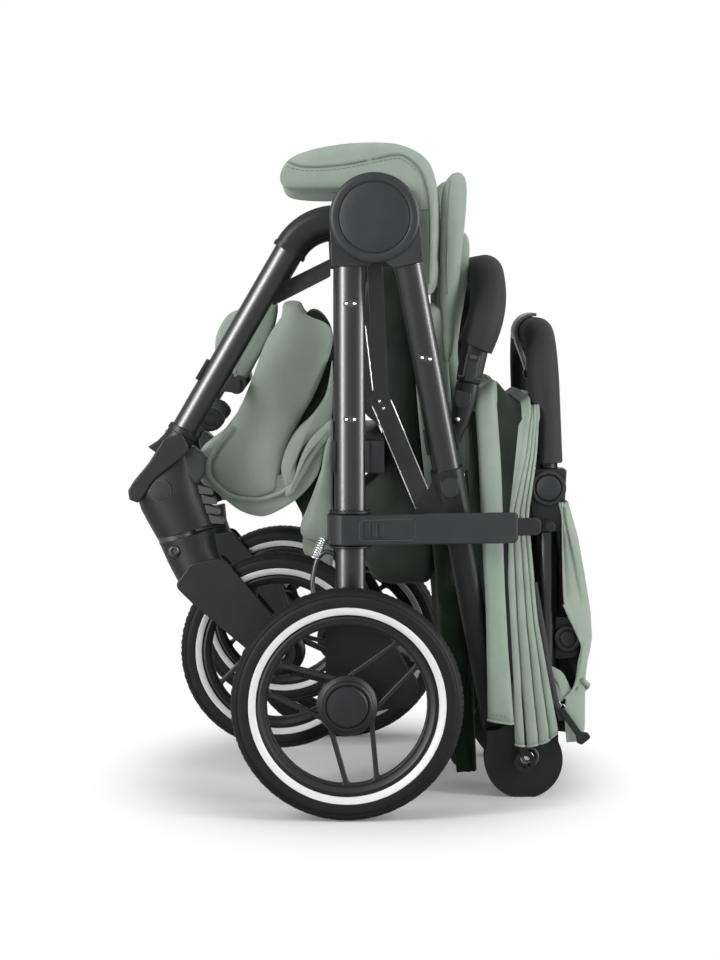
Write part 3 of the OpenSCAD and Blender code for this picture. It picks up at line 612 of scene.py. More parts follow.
for nodeName, nodeObj in nodes.items():
    nodeObj.data.materials.clear()
    nodeObj.data.materials.append(finishes[nodeSlot[nodeName]])
# only a ring of this tube shows, in the joints below the foam
nodes["grip_tube"].data.materials[0] = finishes["black_plastic"]

# wheels

wheelShape = {
    "rear": {"r": 110, "w": 34, "cap": 19.5, "turn": 100.5},
    "front": {"r": 96, "w": 32, "cap": 0, "turn": 40.5},
    "bandLow": 0.778,        # the white band and the groove, as shares of the wheel's radius
    "bandHigh": 0.846,
    "groove": 0.945,
    "rimOuter": 0.764,
    "rimInner": 0.70,
    "blade": 4.4,
    "hubRing": 28,
    "blades": 21.3,          # how far the blades' middle lines pass from the axle
    "skew": -24.7,
}


def tyreProfile(r, w):
    g = wheelShape["groove"]
    lip = r * wheelShape["rimOuter"]
    half = [(lip - 2.5, w * 0.3), (lip, w * 0.37), (r * 0.775, w * 0.43), (r * 0.81, w * 0.478),
            (r * 0.86, w * 0.5), (r * 0.91, w * 0.498), (r * g - 0.9, w * 0.485),
            (r * g - 0.2, w * 0.455), (r * g + 0.5, w * 0.462), (r * 0.965, w * 0.43),
            (r * 0.98, w * 0.38), (r * 0.991, w * 0.3), (r * 0.997, w * 0.2), (r, w * 0.08)]
    return half + [(q, -o) for q, o in reversed(half)]


def makeWheel(name, node, kind, body):
    size = wheelShape[kind]
    x, out, z = place(node)
    r, w = size["r"], size["w"]
    near = 1 if out > 0 else -1
    k = r / 110

    def tread(q, i):
        if q < r * 0.962:
            return q
        block = (i * 7 + int(q * 2.3)) % 5 < 2
        return q - (0.75 if block else 0)

    shape = lathe([(q, out + o) for q, o in tyreProfile(r, w)], x, z, 260, True, tread)
    build(name + "Tyre", shape, body, "tyre", 50, stands=[node])
    band = []
    for side in (1, -1):
        low, high = r * wheelShape["bandLow"], r * wheelShape["bandHigh"]
        ring = [(low, w * 0.42), (low + 0.8, w * 0.452), ((low + high) / 2, w * 0.497),
                (high - 0.6, w * 0.512), (high, w * 0.49), ((low + high) / 2, w * 0.44)]
        band.append(lathe([(q, out + o * side) for q, o in ring], x, z, 128, True))
    build(name + "Band", band[0] + band[1], body, "stripe", 50)

    # the rim's barrel
    ro, ri = r * wheelShape["rimOuter"], r * wheelShape["rimInner"]
    barrel = [(ro, w * 0.34), (ro + 0.4, w * 0.395), (ro - 1.6, w * 0.41), (ro - 3.5, w * 0.375),
              (ri + 0.8, w * 0.36), (ri, w * 0.33), (ri + 0.2, w * 0.24), (ri + 1.8, w * 0.2),
              (ri + 2.2, w * 0.06), (ri + 1.2, 0), (ri + 2.2, -w * 0.06), (ri + 1.8, -w * 0.2),
              (ri + 0.2, -w * 0.24), (ri, -w * 0.33), (ri + 0.8, -w * 0.36), (ro - 3.5, -w * 0.375),
              (ro - 1.6, -w * 0.41), (ro + 0.4, -w * 0.395), (ro, -w * 0.34)]
    shape = lathe([(q, out + o) for q, o in barrel], x, z, 128, True)
    build(name + "Rim", shape, body, "black_plastic", 40,
          stands=[node.replace("tyre", "rim")])

    # the blades are what is left between six openings in a disc
    hub, d, half = wheelShape["hubRing"] * k, wheelShape["blades"] * k, wheelShape["blade"] * k / 2
    holes = []
    for v in range(3):
        phi = size["turn"] + 120 * v
        for inside in (True, False):
            e = d + half if inside else d - half
            rimTurn = wheelShape["skew"] + degrees(acos(e / (ri - 1.5)))
            hubTurn = wheelShape["skew"] + degrees(acos(e / hub))
            if inside:
                arcs = ((hub, -hubTurn, hubTurn), (ri - 1.5, rimTurn, -rimTurn))
            else:
                arcs = ((hub, hubTurn, 120 - hubTurn), (ri - 1.5, 120 - rimTurn, rimTurn))
            hole = []
            for radius, a0, a1 in arcs:
                count = max(3, int(abs(a1 - a0) / 6))
                for i in range(count + 1):
                    a = radians(phi + a0 + (a1 - a0) * i / count)
                    corner = 1.5 if i in (0, count) else 0
                    if corner and radius > hub:
                        corner = 5.5 * k
                    hole.append((radius * cos(a), radius * sin(a), corner))
            holes.append(rounded(hole, 18))
    disc = bpy.data.curves.new(name + "Blades", "CURVE")
    disc.dimensions = "2D"
    disc.fill_mode = "BOTH"
    disc.extrude = 4.5 * k * mm
    disc.bevel_depth = 1.1 * k * mm
    disc.bevel_resolution = 2
    disc.offset = -0.9 * k * mm
    for outline in [discOutline(0, 0, ri + 1.6, 96)] + holes:
        spline = disc.splines.new("POLY")
        spline.points.add(len(outline) - 1)
        for p, (u, v) in zip(spline.points, outline):
            p.co = (u * mm, v * mm, 0, 1)
        spline.use_cyclic_u = True
    holder = bpy.data.objects.new(name + "BladesCurve", disc)
    mesh = bpy.data.meshes.new_from_object(holder)
    bpy.data.objects.remove(holder)
    mesh.transform(Matrix.Translation(at(x, out + near * 3 * k, z)) @ Matrix.Rotation(radians(90), 4, "X"))
    mesh.name = name + "Blades"
    obj = bpy.data.objects.new(name + "Blades", mesh)
    bpy.context.collection.objects.link(obj)
    finishPiece(obj, body, "black_plastic", 38)

    # the hub, with a ring and a cap on the outer side
    hubSteps = [(7, -w * 0.42), (hub * 0.8, -w * 0.42), (hub * 0.86, -w * 0.38), (hub * 0.86, -w * 0.1),
                (hub + 0.6, -w * 0.08), (hub + 1, w * 0.2), (hub, w * 0.3), (hub * 0.9, w * 0.36),
                (hub * 0.86, w * 0.38), (hub * 0.84, w * 0.5), (hub * 0.8, w * 0.53)]
    cap = size["cap"]
    if cap:
        hubSteps += [(cap + 1.2, w * 0.535), (cap + 0.6, w * 0.5), (cap, w * 0.5), (cap - 0.3, w * 0.6),
                     (cap - 1.6, w * 0.64), (cap * 0.6, w * 0.66), (cap * 0.3, w * 0.665), (0.3, w * 0.668)]
    else:
        hubSteps += [(hub * 0.5, w * 0.53), (hub * 0.45, w * 0.45), (7, w * 0.45)]
    build(name + "Hub", lathe([(q, out + near * o) for q, o in hubSteps], x, z, 72), body,
          "black_plastic", 30)


for side in ("left", "right"):
    for kind in ("rear", "front"):
        makeWheel(kind + side.capitalize(), kind + "_tyre_" + side, kind, kind + "_wheel_" + side)
print("stage: wheels")

# fold hub: the outer discs with their knuckles, the leg's knuckles and the elbows

hubX, _, hubZ = place("hub_shaft")
hubDisc = {"r": 42.5, "out": 222, "inner": 200, "groove": 33.5}
pusherTop, pusherFoot = Vector((58, 205, 523)), Vector((152, 102, 44))


def onPusher(z):
    return pusherTop.lerp(pusherFoot, (pusherTop.z - z) / (pusherTop.z - pusherFoot.z))


def makeHub():
    r, o, g = hubDisc["r"], hubDisc["out"], hubDisc["groove"]
    face = [(0.3, hubDisc["inner"]), (r - 1, hubDisc["inner"]), (r, hubDisc["inner"] + 1), (r, o - 3.2),
            (r - 0.4, o - 1.8), (r - 1.6, o - 0.7), (r - 3.4, o - 0.1), (g + 1.2, o), (g + 0.5, o - 0.3),
            (g + 0.3, o - 1.2), (g - 0.5, o - 1.2), (g - 0.8, o + 0.1), (g - 2, o + 0.5),
            (g * 0.6, o + 0.9), (g * 0.3, o + 1.1), (0.3, o + 1.2)]
    build("hubDiscs", lathe(face, hubX, hubZ, 128).both(), "pusher", "disc_plastic", 28,
          stands=["pusher_hub_discs"])
    # the knuckles leave the discs and close round the tubes
    rim = [(hubX + (r - 0.3) * cos(radians(a)), hubZ + (r - 0.3) * sin(radians(a)))
           for a in range(-95, 272, 6)]
    legPlate = [(-14.6, 521), (21.8, 521), (25.5, 524.9)] + rim[1:46] + [(-16.2, 560)]
    build("legKnuckles", plate(legPlate, 178.2, 199.7).both(), "rear_frame", "disc_plastic",
          40, 2.0, 3, stands=["rear_hub_plates"])
    neck = rounded([(43.6, 519.6, 1), (71.8, 525.2, 1), (70.6, 543, 30), (66.5, 572, 10), (30, 560, 5),
                    (36.5, 524.5, 14)], 10)
    build("pusherKnuckles", plate(neck, 191.5, 219.4).both(), "pusher", "disc_plastic",
          40, 3.0, 4)
    soften("front_hub_plates", 1.0, "black_plastic", "frontElbows")


makeHub()

# pieces that keep their own shape and get softened edges

softened = {
    "axle_housings": 2.5, "lock_collar": 0.8, "brake_pedal": 1.0,
    "pusher_sleeves": 2.0, "pusher_bars": 0.8, "lower_joint_plates": 2.0, "handle_joint_plates": 2.2,
    "canopy_bow_mid": 0.8, "canopy_bow_front": 0.8, "rear_axle_tube": 0.5,
}
for nodeName, width in softened.items():
    soften(nodeName, width)
# the cross bars' blocks sit behind the tubes
trimOutside(soften("rear_crossbar", 1.5), 193)
trimOutside(soften("footrest_bar", 1.5), 156)
print("stage: hub and softened parts")

# main tubes, oval in section: from a top to a foot, wide in the side view and thick across

frameTubes = {
    "legTubes": {"node": "rear_legs", "top": (3.5, 188.85, 523), "foot": (3.5, 188.85, 185),
                 "wide": 29, "thick": 18.4, "body": "rear_frame"},
    "pusherTubes": {"node": "pusher_tubes", "top": onPusher(524), "foot": onPusher(322),
                    "wide": 27, "thick": 20, "body": "pusher"},
    "frontTubes": {"node": "front_tubes", "top": (-54, 166.85, 540), "foot": (-158, 146, 362),
                   "wide": 25, "thick": 18, "body": "front_frame"},
}


def makeTube(name, tube):
    turns = [2 * pi * k / 40 for k in range(40)]
    ring = [(tube["thick"] / 2 * cos(a), tube["wide"] / 2 * sin(a)) for a in turns]
    top, foot = Vector(tube["top"]), Vector(tube["foot"])
    shape = sweep([top.lerp(foot, k / 4) for k in range(5)], ring)
    node = tube["node"]
    build(name, shape.both(), tube["body"], "satin_black_tube", 60, stands=[node])


for tubeName, tube in frameTubes.items():
    makeTube(tubeName, tube)

# rivets and bolts

rivetLook = {"recess": 4.6, "gap": 3.9}
jointBolt = {"x": 179, "z": 40, "out": 131, "r": 6.8}


# two small domes in a dark oblong cup, across a tube
def rivetPair(x, z, out, lean=0.0):
    domes = Shape()
    c, s = cos(radians(lean)), sin(radians(lean))
    r = rivetLook["recess"]
    ring = rounded([(-r - 2, -r * 0.55, 2.4), (r + 2, -r * 0.55, 2.4), (r + 2, r * 0.55, 2.4),
                    (-r - 2, r * 0.55, 2.4)])
    ring = [(x + u * c + v * s, z + v * c - u * s) for u, v in ring]
    cup = plate(ring, out - 0.6, out + 0.25)
    for k in (-1, 1):
        u = k * rivetLook["gap"]
        dome = [(0.1, out + 1.4), (0.8, out + 1.25), (1.4, out + 0.7), (1.7, out + 0.1), (1.7, out - 0.6),
                (0.1, out - 0.6)]
        domes = domes + lathe(dome, x + u * c, z - u * s, 20)
    return cup, domes


# a round head with a socket, seen end on
def boltHead(x, z, out, r):
    return lathe([(0.1, out - 1.2), (r * 0.5, out - 1.2), (r * 0.55, out + r * 0.28),
                  (r * 0.62, out + r * 0.34), (r * 0.85, out + r * 0.22), (r, out), (r, out - 2),
                  (0.1, out - 2)], x, z, 28)


def makeRivets():
    cups, domes = Shape(), Shape()
    for z in (486, 376):
        cup, dome = rivetPair(3.5, z, 198)
        cups, domes = cups + cup, domes + dome
    build("legRivetCups", cups.both(), "rear_frame", "cable", 40)
    build("legRivets", domes.both(), "rear_frame", "chrome", 60, stands=["frame_rivets"])
    p = onPusher(434)
    cup, dome = rivetPair(p.x, p.z, p.y + 10.3, 11)
    build("pusherRivetCups", cup.both(), "pusher", "cable", 40)
    build("pusherRivets", dome.both(), "pusher", "chrome", 60)
    x, z = jointBolt["x"], jointBolt["z"]
    bolts = boltHead(x, z, jointBolt["out"], jointBolt["r"])
    build("jointBolts", bolts.both(), "pusher", "bolt", 45, stands=["joint_bolts"])
    cup = lathe([(7.4, 129.4), (11, 129.4), (11, 131.2), (10.2, 131.8), (8.4, 131.8), (7.4, 131)],
                x, z, 40, True)
    build("jointBoltRings", cup.both(), "pusher", "cable", 45)
    # the shaft that the bolts stand for, seen from the inner side
    pins = lathe([(0.1, 90), (6, 90), (6, 130), (0.1, 130)], 175, 37, 32)
    build("jointPins", pins.both(), "pusher", "steel", 45)


makeRivets()

# swivel housings and forks

swivel = {"x": -163, "z": 258.5, "tilt": 24.4, "out": 145, "collar": 18.8}


# a point along the swivel's axis, u to its front side and w up it
def onSwivel(u, w):
    c, s = cos(radians(swivel["tilt"])), sin(radians(swivel["tilt"]))
    return (swivel["x"] + u * c - w * s, swivel["z"] + w * c + u * s)


# a side-view span (two points) swept into a rounded cross section
def ringAcross(points, depth, sharp=0.55, steps=24, out=swivel["out"]):
    (x0, z0), (x1, z1) = points
    ring = []
    for k in range(steps):
        a = 2 * pi * k / steps
        c = (1 if cos(a) > 0 else -1) * abs(cos(a)) ** sharp
        s = (1 if sin(a) > 0 else -1) * abs(sin(a)) ** sharp
        ring.append(((x0 + x1) / 2 + (x1 - x0) / 2 * c, out + depth * s, (z0 + z1) / 2 + (z1 - z0) / 2 * c))
    return ring


def makeSwivels():
    # the drum below the sleeve, cut at a slant by the swivel's seam
    spans = [((-189, 333), (-152, 344), 15, 0.6), ((-199, 318), (-149, 330), 17.5, 0.7),
             ((-206, 308), (-146, 318), 20, 0.75), ((-204, 298), (-142, 312), 22, 0.85),
             ((-201.5, 294), (-140, 306), 22.5, 0.95), ((-199, 286), (-136, 297), 22.5, 0.97),
             ((-191, 271), (-131, 284), 22.5, 1.0), ((-183.5, 257.5), (-126.5, 274), 22.5, 1.0)]
    drum = loft([ringAcross((a, b), d, s) for a, b, d, s in spans])
    build("swivelDrums", drum.both(), "front_frame", "black_plastic", 40, 0.8,
          stands=["swivel_housings"])
    # a dark collar round the swivel's axis fills the seam
    rings = []
    for w in (-6, 8):
        ring = []
        for k in range(32):
            x, z = onSwivel(swivel["collar"] * cos(2 * pi * k / 32), w)
            ring.append((x, swivel["out"] + swivel["collar"] * sin(2 * pi * k / 32), z))
        rings.append(ring)
    build("swivelCollars", loft(rings).both(), "front_frame", "cable", 40, 0.4)
    # the sleeve that holds the front tube, with a collar at its mouth
    mouth = Vector(frameTubes["frontTubes"]["foot"])
    along = Vector((104, 10, 178)).normalized()
    tubes = []
    for t, w, d in ((3, 14.6, 11.8), (0, 15.2, 12.2), (-3, 15.2, 12.2), (-3.2, 14.2, 11.4),
                    (-12, 14.8, 12), (-20, 17, 14), (-30, 22, 17)):
        p = mouth + along * t
        n = Vector((along.z, 0, -along.x)).normalized()
        turns = [2 * pi * k / 32 for k in range(32)]
        tubes.append([tuple(p + n * (w * cos(a)) + Vector((0, d * sin(a), 0))) for a in turns])
    build("tubeSleeves", loft(tubes).both(), "front_frame", "black_plastic", 35, 0.4)
    # a visor that runs from the sleeve round the front of the drum
    visor = rounded([(-176, 356, 3), (-190, 333, 40), (-205, 315, 20), (-210.5, 306, 5), (-209, 297, 3),
                     (-201, 294, 2), (-196, 299, 6), (-184, 318, 30), (-168, 330, 12), (-150, 344, 10),
                     (-158, 361, 4)], 10)
    build("drumVisors", plate(visor, swivel["out"] - 21, swivel["out"] + 21).both(), "front_frame",
          "black_plastic", 40, 3.5, 4)
    plug = [(9.6, 165), (9.6, 168.2), (9.3, 168.7), (8.3, 168.9), (0.2, 169.1)]
    ring = [(10.4, 166), (10.4, 168), (9.7, 168), (9.7, 166)]
    build("drumPlugs", lathe(plug, -179, 305.5, 48).both(), "front_frame", "disc_plastic",
          30)
    build("drumPlugRings", lathe(ring, -179, 305.5, 48, True).both(), "front_frame", "cable",
          30)
    # a rear lug with its round boss, and the small teeth of the swivel lock
    lug = rounded([(-157, 343, 4), (-149, 349, 6), (-136, 338, 12), (-137, 320, 6), (-146, 310, 4),
                   (-152, 320, 3)], 12)
    build("drumLugs", plate(lug, 126, 158).both(), "front_frame", "disc_plastic", 40, 2)
    teeth = Shape()
    for k in range(4):
        x, z = -134 + k * 3.4, 305 - k * 9.5
        tooth = rounded([(x - 10, z + 6, 1), (x + 4, z + 2, 1.5), (x + 6, z - 4, 1.5), (x - 8, z - 3, 1)])
        teeth = teeth + plate(tooth, 134, 156)
    build("swivelLatches", teeth.both(), "front_frame", "cable", 40, 0.6)


makeSwivels()

forkShape = {"boltR": 5.6}


def makeFork(name, node, sign):
    spans = [((-182, 253.5), (-127.5, 269), 22.3, 1.0), ((-180, 250), (-127, 262), 22.3, 1.0),
             ((-174, 236), (-126, 252), 22.3, 1.0), ((-168, 224), (-123, 243), 22.6, 0.9),
             ((-162, 213), (-118, 234), 23.2, 0.75), ((-156, 204), (-112, 226), 23.6, 0.55)]
    drum = loft([ringAcross((a, b), d, s) for a, b, d, s in spans])
    # two broad flat blades run down to the front axle
    blades = Shape()
    for inner, outer in ((121.4, 126), (164, 168.6)):
        shape = rounded([(-166, 214, 8), (-150, 236, 10), (-119, 241, 10), (-52, 163, 12), (-47, 149, 14),
                         (-52, 134, 12), (-66, 130, 14), (-80, 138, 12), (-148, 196, 14)], 10)
        blades = blades + plate(shape, inner, outer)
    axleEnds = lathe([(0.1, 117.5), (6.5, 117.5), (6.5, 172.5), (0.1, 172.5)], -65, 149, 24)
    bolt = boltHead(-166.5, 247.5, 167, forkShape["boltR"])
    shapes = {"Drum": (drum, "black_plastic", 0.8), "Blades": (blades, "black_plastic", 1.6)}
    for key, (shape, finish, width) in shapes.items():
        s = shape if sign > 0 else shape.mirror()
        build(name + key, s, node, finish, 40, width,
              stands=[node] if key == "Drum" else ())
    a = axleEnds if sign > 0 else axleEnds.mirror()
    build(name + "AxleBolt", a, node, "steel", 40, 0.5)
    b = bolt if sign > 0 else bolt.mirror()
    build(name + "PivotBolt", b, node, "cable", 40)


makeFork("forkLeft", "fork_left", 1)
makeFork("forkRight", "fork_right", -1)
print("stage: swivels and forks")

# handle: tube housings, foam, squeeze lever

grip = {"x": 198, "z": 306, "out": 122, "lean": -2.6, "rise": 150, "bend": 55, "foam": 15.6}


def inGrip(u, out, w):
    c, s = cos(radians(grip["lean"])), sin(radians(grip["lean"]))
    return (grip["x"] + u * c + w * s, out, grip["z"] + w * c - u * s)


# the hoop's middle line from one arm over the cross bar to the other
def hoopPath(inFrame, out, rise, bend, start, bulge=0.0, gap=8):
    pts = []
    top = rise - bend
    count = max(2, int((top - start) / gap))
    for k in range(count):
        w = start + (top - start) * k / count
        pts.append((bulge * sin(pi * (w - start) / (rise - start)), out, w))
    for k in range(13):
        a = pi / 2 * k / 12
        w = top + bend * sin(a)
        pts.append((bulge * sin(pi * min(1, (w - start) / (rise - start))), out - bend + bend * cos(a), w))
    pts += [(0, out - bend - (out - bend) * k / 4, rise) for k in range(1, 5)]
    line = [Vector(inFrame(*p)) for p in pts]
    far = [Vector((p.x, -p.y, p.z)) for p in line[:-1]]
    return line + far[::-1]


def makeGrip():
    line = hoopPath(inGrip, grip["out"], grip["rise"], grip["bend"], 23.5)
    foam = sweep(line, roundSection(grip["foam"], 28), lean=Vector((1, 0, 0)))
    build("gripFoam", foam, "grip", "foam", 50, 1.2, stands=["grip_foam"])
    housing = rounded([(179, 324.5, 3), (178.5, 300, 20), (181, 280, 12), (182, 263, 2.5),
                       (213.5, 263, 2.5), (214, 290, 20), (215.5, 324.5, 3)], 10)
    shape = plate(housing, 107.5, 136.4)
    boss = lathe([(0.2, 134), (16.5, 134), (17.4, 135.5), (17.4, 138.2), (16.6, 139.4), (14.4, 139.8),
                  (13.2, 138.6), (13, 136.4), (0.2, 136.2)], 197.5, 306, 64)
    build("gripHousings", shape.both(), "handle", "black_plastic", 40, 3.2, 4,
          stands=["grip_housings"])
    build("gripHousingRings", boss.both(), "handle", "disc_plastic", 35)
    peg = lathe([(0.1, 122), (5, 122), (5, 172), (4.3, 173), (0.1, 173)], 196.5, 271, 28)
    build("strapPegs", peg.both(), "handle", "black_plastic", 40)
    for side, sign in (("left", 1), ("right", -1)):
        button = lathe([(0.1, 132), (12.4, 132), (12.4, 138.9), (11.7, 139.9), (10, 140.5), (5, 140.9),
                        (0.1, 141)], 197.5, 306, 56)
        button = button if sign > 0 else button.mirror()
        build("gripButton" + side.capitalize(), button, "grip_button_" + side, "disc_plastic",
              30, stands=["grip_button_" + side])
    # the lever curls over the front of the cross bar and ends in a short tongue
    r = grip["foam"] + 0.9
    path = []
    for k in range(18):
        turn = radians(80 + 7 * k)
        path.append(inGrip((r + 1.5) * cos(turn), 0, grip["rise"] + (r + 1.5) * sin(turn)))
    band = sweep(path, boxSection(62, 3.2, 1.4), lean=Vector((0, 1, 0)))
    build("squeezeLever", band, "fold_trigger", "grey_plastic", 40, 0.5,
          stands=["fold_trigger"])
    tail = [inGrip(*p) for p in ((-17, 0, 149), (-15.5, 0, 140), (-12, 0, 129), (-8.6, 0, 118),
                                 (-6.6, 0, 109), (-5.5, 0, 103))]
    tail = smoothPath(tail, 4)
    tongue = sweep(tail, boxSection(30, 3.6, 1.4), lean=Vector((0, 1, 0)),
                   sizes=lambda t: 1.0 if t < 0.75 else 1.0 + (t - 0.75) * 0.5)
    build("leverTongue", tongue, "fold_trigger", "grey_plastic", 40, 0.6)
    tip = inGrip(-5.6, 0, 108)
    knob = lathe([(0.2, -9), (4.4, -9), (5.2, -8), (5.2, 8), (4.4, 9), (0.2, 9)], tip[0], tip[2], 24)
    build("leverEnd", knob, "fold_trigger", "disc_plastic", 40, 0.6)


makeGrip()
print("stage: handle")

# bumper bar: banana-curved foam, latch ends, buttons

bumper = {"x": 107, "z": 346, "toX": 138, "toZ": 516, "out": 144, "bend": 60, "foam": 17.6, "bulge": 5.5}
bumper["rise"] = hypot(bumper["toX"] - bumper["x"], bumper["toZ"] - bumper["z"])
bumper["lean"] = degrees(atan2(bumper["toX"] - bumper["x"], bumper["toZ"] - bumper["z"]))


def inBumper(u, out, w):
    c, s = cos(radians(bumper["lean"])), sin(radians(bumper["lean"]))
    return (bumper["x"] + u * c + w * s, out, bumper["z"] + w * c - u * s)


def makeBumper():
    line = hoopPath(inBumper, bumper["out"], bumper["rise"], bumper["bend"], 99, bumper["bulge"])
    build("bumperFoam", sweep(line, roundSection(bumper["foam"], 28), lean=Vector((1, 0, 0))), "bumper",
          "foam", 50, 1.4, stands=["bumper_foam"])
    o = bumper["out"]

    def ring(w, u0, u1, depth, sharp=0.8):
        a, b = inBumper(u0, 0, w), inBumper(u1, 0, w)
        return ringAcross(((a[0], a[2]), (b[0], b[2])), depth, sharp, 28, o)

    upper = loft([ring(103, -12.8, 13.6, 12.4), ring(92, -12.9, 13.4, 12.4), ring(76, -12.6, 12.6, 12),
                  ring(66, -12, 11.6, 11.6), ring(64.5, -11.6, 11.2, 11.2)])
    build("bumperEnds", upper.both(), "bumper", "black_plastic", 40, 0.9,
          stands=["bumper_bar"])
    lower = loft([ring(64.2, -11.2, 10.6, 11), ring(60, -11.6, 11, 11.4), ring(45, -11.4, 10.6, 11),
                  ring(25, -10.5, 7.5, 9.6), ring(8, -12, 3.5, 8.6), ring(-4, -14, -3, 8.2)])
    build("bumperStems", lower.both(), "bumper", "black_plastic", 40, 0.9)
    # the H-shaped latch slot on the outer face
    slots = Shape()
    for u0, u1, w0, w1 in ((-7.5, -5.4, 70, 92), (4.4, 6.5, 70, 92), (-3.6, 3.4, 88, 91.5),
                           (-11.5, -6.5, 68.6, 70.4), (5.5, 11.4, 68.6, 70.4)):
        corners = [inBumper(u, 0, w) for u, w in ((u0, w0), (u1, w0), (u1, w1), (u0, w1))]
        slots = slots + plate([(c[0], c[2]) for c in corners], o + 9.8,
                              o + (12.5 if u0 > -8 and u1 < 8 else 11.6))
    build("bumperLatchSlots", slots.both(), "bumper", "cable", 40)
    tab = [inBumper(u, 0, w) for u, w in ((-5.2, 66), (4.2, 66), (4.2, 86), (-5.2, 86))]
    build("bumperLatchTabs", plate([(c[0], c[2]) for c in tab], o + 9, o + 12.9).both(), "bumper",
          "disc_plastic", 40, 0.8)
    for side, sign in (("left", 1), ("right", -1)):
        base = [inBumper(u, 0, w) for u, w in ((-11.5, 56), (4.6, 54.5), (5, 46), (-0.5, 38.5),
                                               (-7.5, 38.5), (-12, 46))]
        outline = rounded([(b[0], b[2], r) for b, r in zip(base, (3, 3, 8, 6, 6, 8))], 10)
        button = plate(outline, o + 8, o + 12.6)
        button = button if sign > 0 else button.mirror()
        build("bumperButton" + side.capitalize(), button, "bumper_button_" + side, "disc_plastic",
              40, 1.6, 4, stands=["bumper_button_" + side])
    # collars behind the pusher tubes, whose outer sides stay clear
    trimOutside(soften("bumper_sockets", 0.8), 168)
    # the pin shows as a bright dot
    pin = lathe([(0.1, o + 8), (2.2, o + 8), (2.2, o + 10.6), (1.4, o + 11.4), (0.1, o + 11.6)],
                108, 374, 20)
    build("bumperPins", pin.both(), "bumper", "chrome", 50)


makeBumper()
print("stage: bumper bar")

# fold lock strap

lock = {"x": 3.5, "out": 189.15, "z": 271, "lean": 11.5, "high": 30, "reach": 20}


# along the strap from the leg, out from its face, up
def onStrap(u, v, w):
    c, s = cos(radians(lock["lean"])), sin(radians(lock["lean"]))
    face = lock["out"] + lock["reach"]
    return (lock["x"] + u * c - v * s, face - u * s + v * c, lock["z"] + w)


def strapBox(outline, v0, v1):
    if areaOf(outline) > 0:
        outline = outline[::-1]
    return loft([[onStrap(u, v, w) for u, w in outline] for v in (v0, v1)])


def makeStrap():
    h = lock["high"] / 2 - 0.5
    band = rounded([(-9, h, 2), (70, h, 3), (76, h + 0.6, 3), (162, h, 4), (165, h - 3, 3),
                    (165, -h + 3, 3), (162, -h - 0.6, 4), (76, -h, 3), (70, -h, 3), (-9, -h, 2)], 15)
    build("lockStrap", strapBox(band, -3.5, 3.6), "lock_strap", "disc_plastic", 40, 1.6,
          4, stands=["lock_strap"])
    turns = [2 * pi * k / 48 for k in range(48)]
    layers = [[(lock["x"] + r * cos(a), lock["out"] + r * 0.97 * sin(a), lock["z"] + w) for a in turns]
              for r, w in ((22.2, -h), (22.2, h), (17.4, h), (17.4, -h))]
    wrap = loft(layers, wrap=True)
    build("strapWrap", wrap, "lock_strap", "disc_plastic", 40, 1.2)
    tongue = rounded([(163, 9, 1), (184, 9, 5), (188, 5, 4), (188, -5, 4), (184, -8, 4), (163, -8, 1)], 15)
    build("strapTongue", strapBox(tongue, -2.4, 2.2), "lock_strap", "black_plastic", 40,
          1.2)
    # the recess round the slide is a dark line, and the slide carries three ribs
    outer = rounded([(9, 10.4, 5), (62, 10.4, 0), (62, -10.4, 0), (9, -10.4, 5)], 15)
    inner = rounded([(9.9, 9.5, 4.4), (61.8, 9.5, 0), (61.8, -9.5, 0), (9.9, -9.5, 4.4)], 15)
    groove = loft([[onStrap(u, v, w) for u, w in o]
                   for o, v in ((outer, 3.3), (outer, 3.75), (inner, 3.75), (inner, 3.3))], wrap=True)
    build("slideRecess", groove, "lock_strap", "cable", 40)
    face = rounded([(10.4, 9, 4), (55, 9, 0), (64, 8.8, 0), (64, -8.8, 0), (55, -9, 0), (10.4, -9, 4)], 15)
    ribs = strapBox(face, 2.6, 3.9)
    for u in (15, 22, 29):
        rib = rounded([(u, 7, 1), (u + 4.6, 7, 1), (u + 4.6, -7, 1), (u, -7, 1)])
        ribs = ribs + strapBox(rib, 3.4, 4.7)
    build("lockSlide", ribs, "lock_slide", "disc_plastic", 40, 0.5, stands=["lock_slide"])


makeStrap()
print("stage: fold lock")

# braces with bright edges, brake cable and release buttons

braceEdge = {"out": 154.2, "r": 0.55}
cableSpring = {"r": 3.7, "turns": 9, "wire": 0.75}


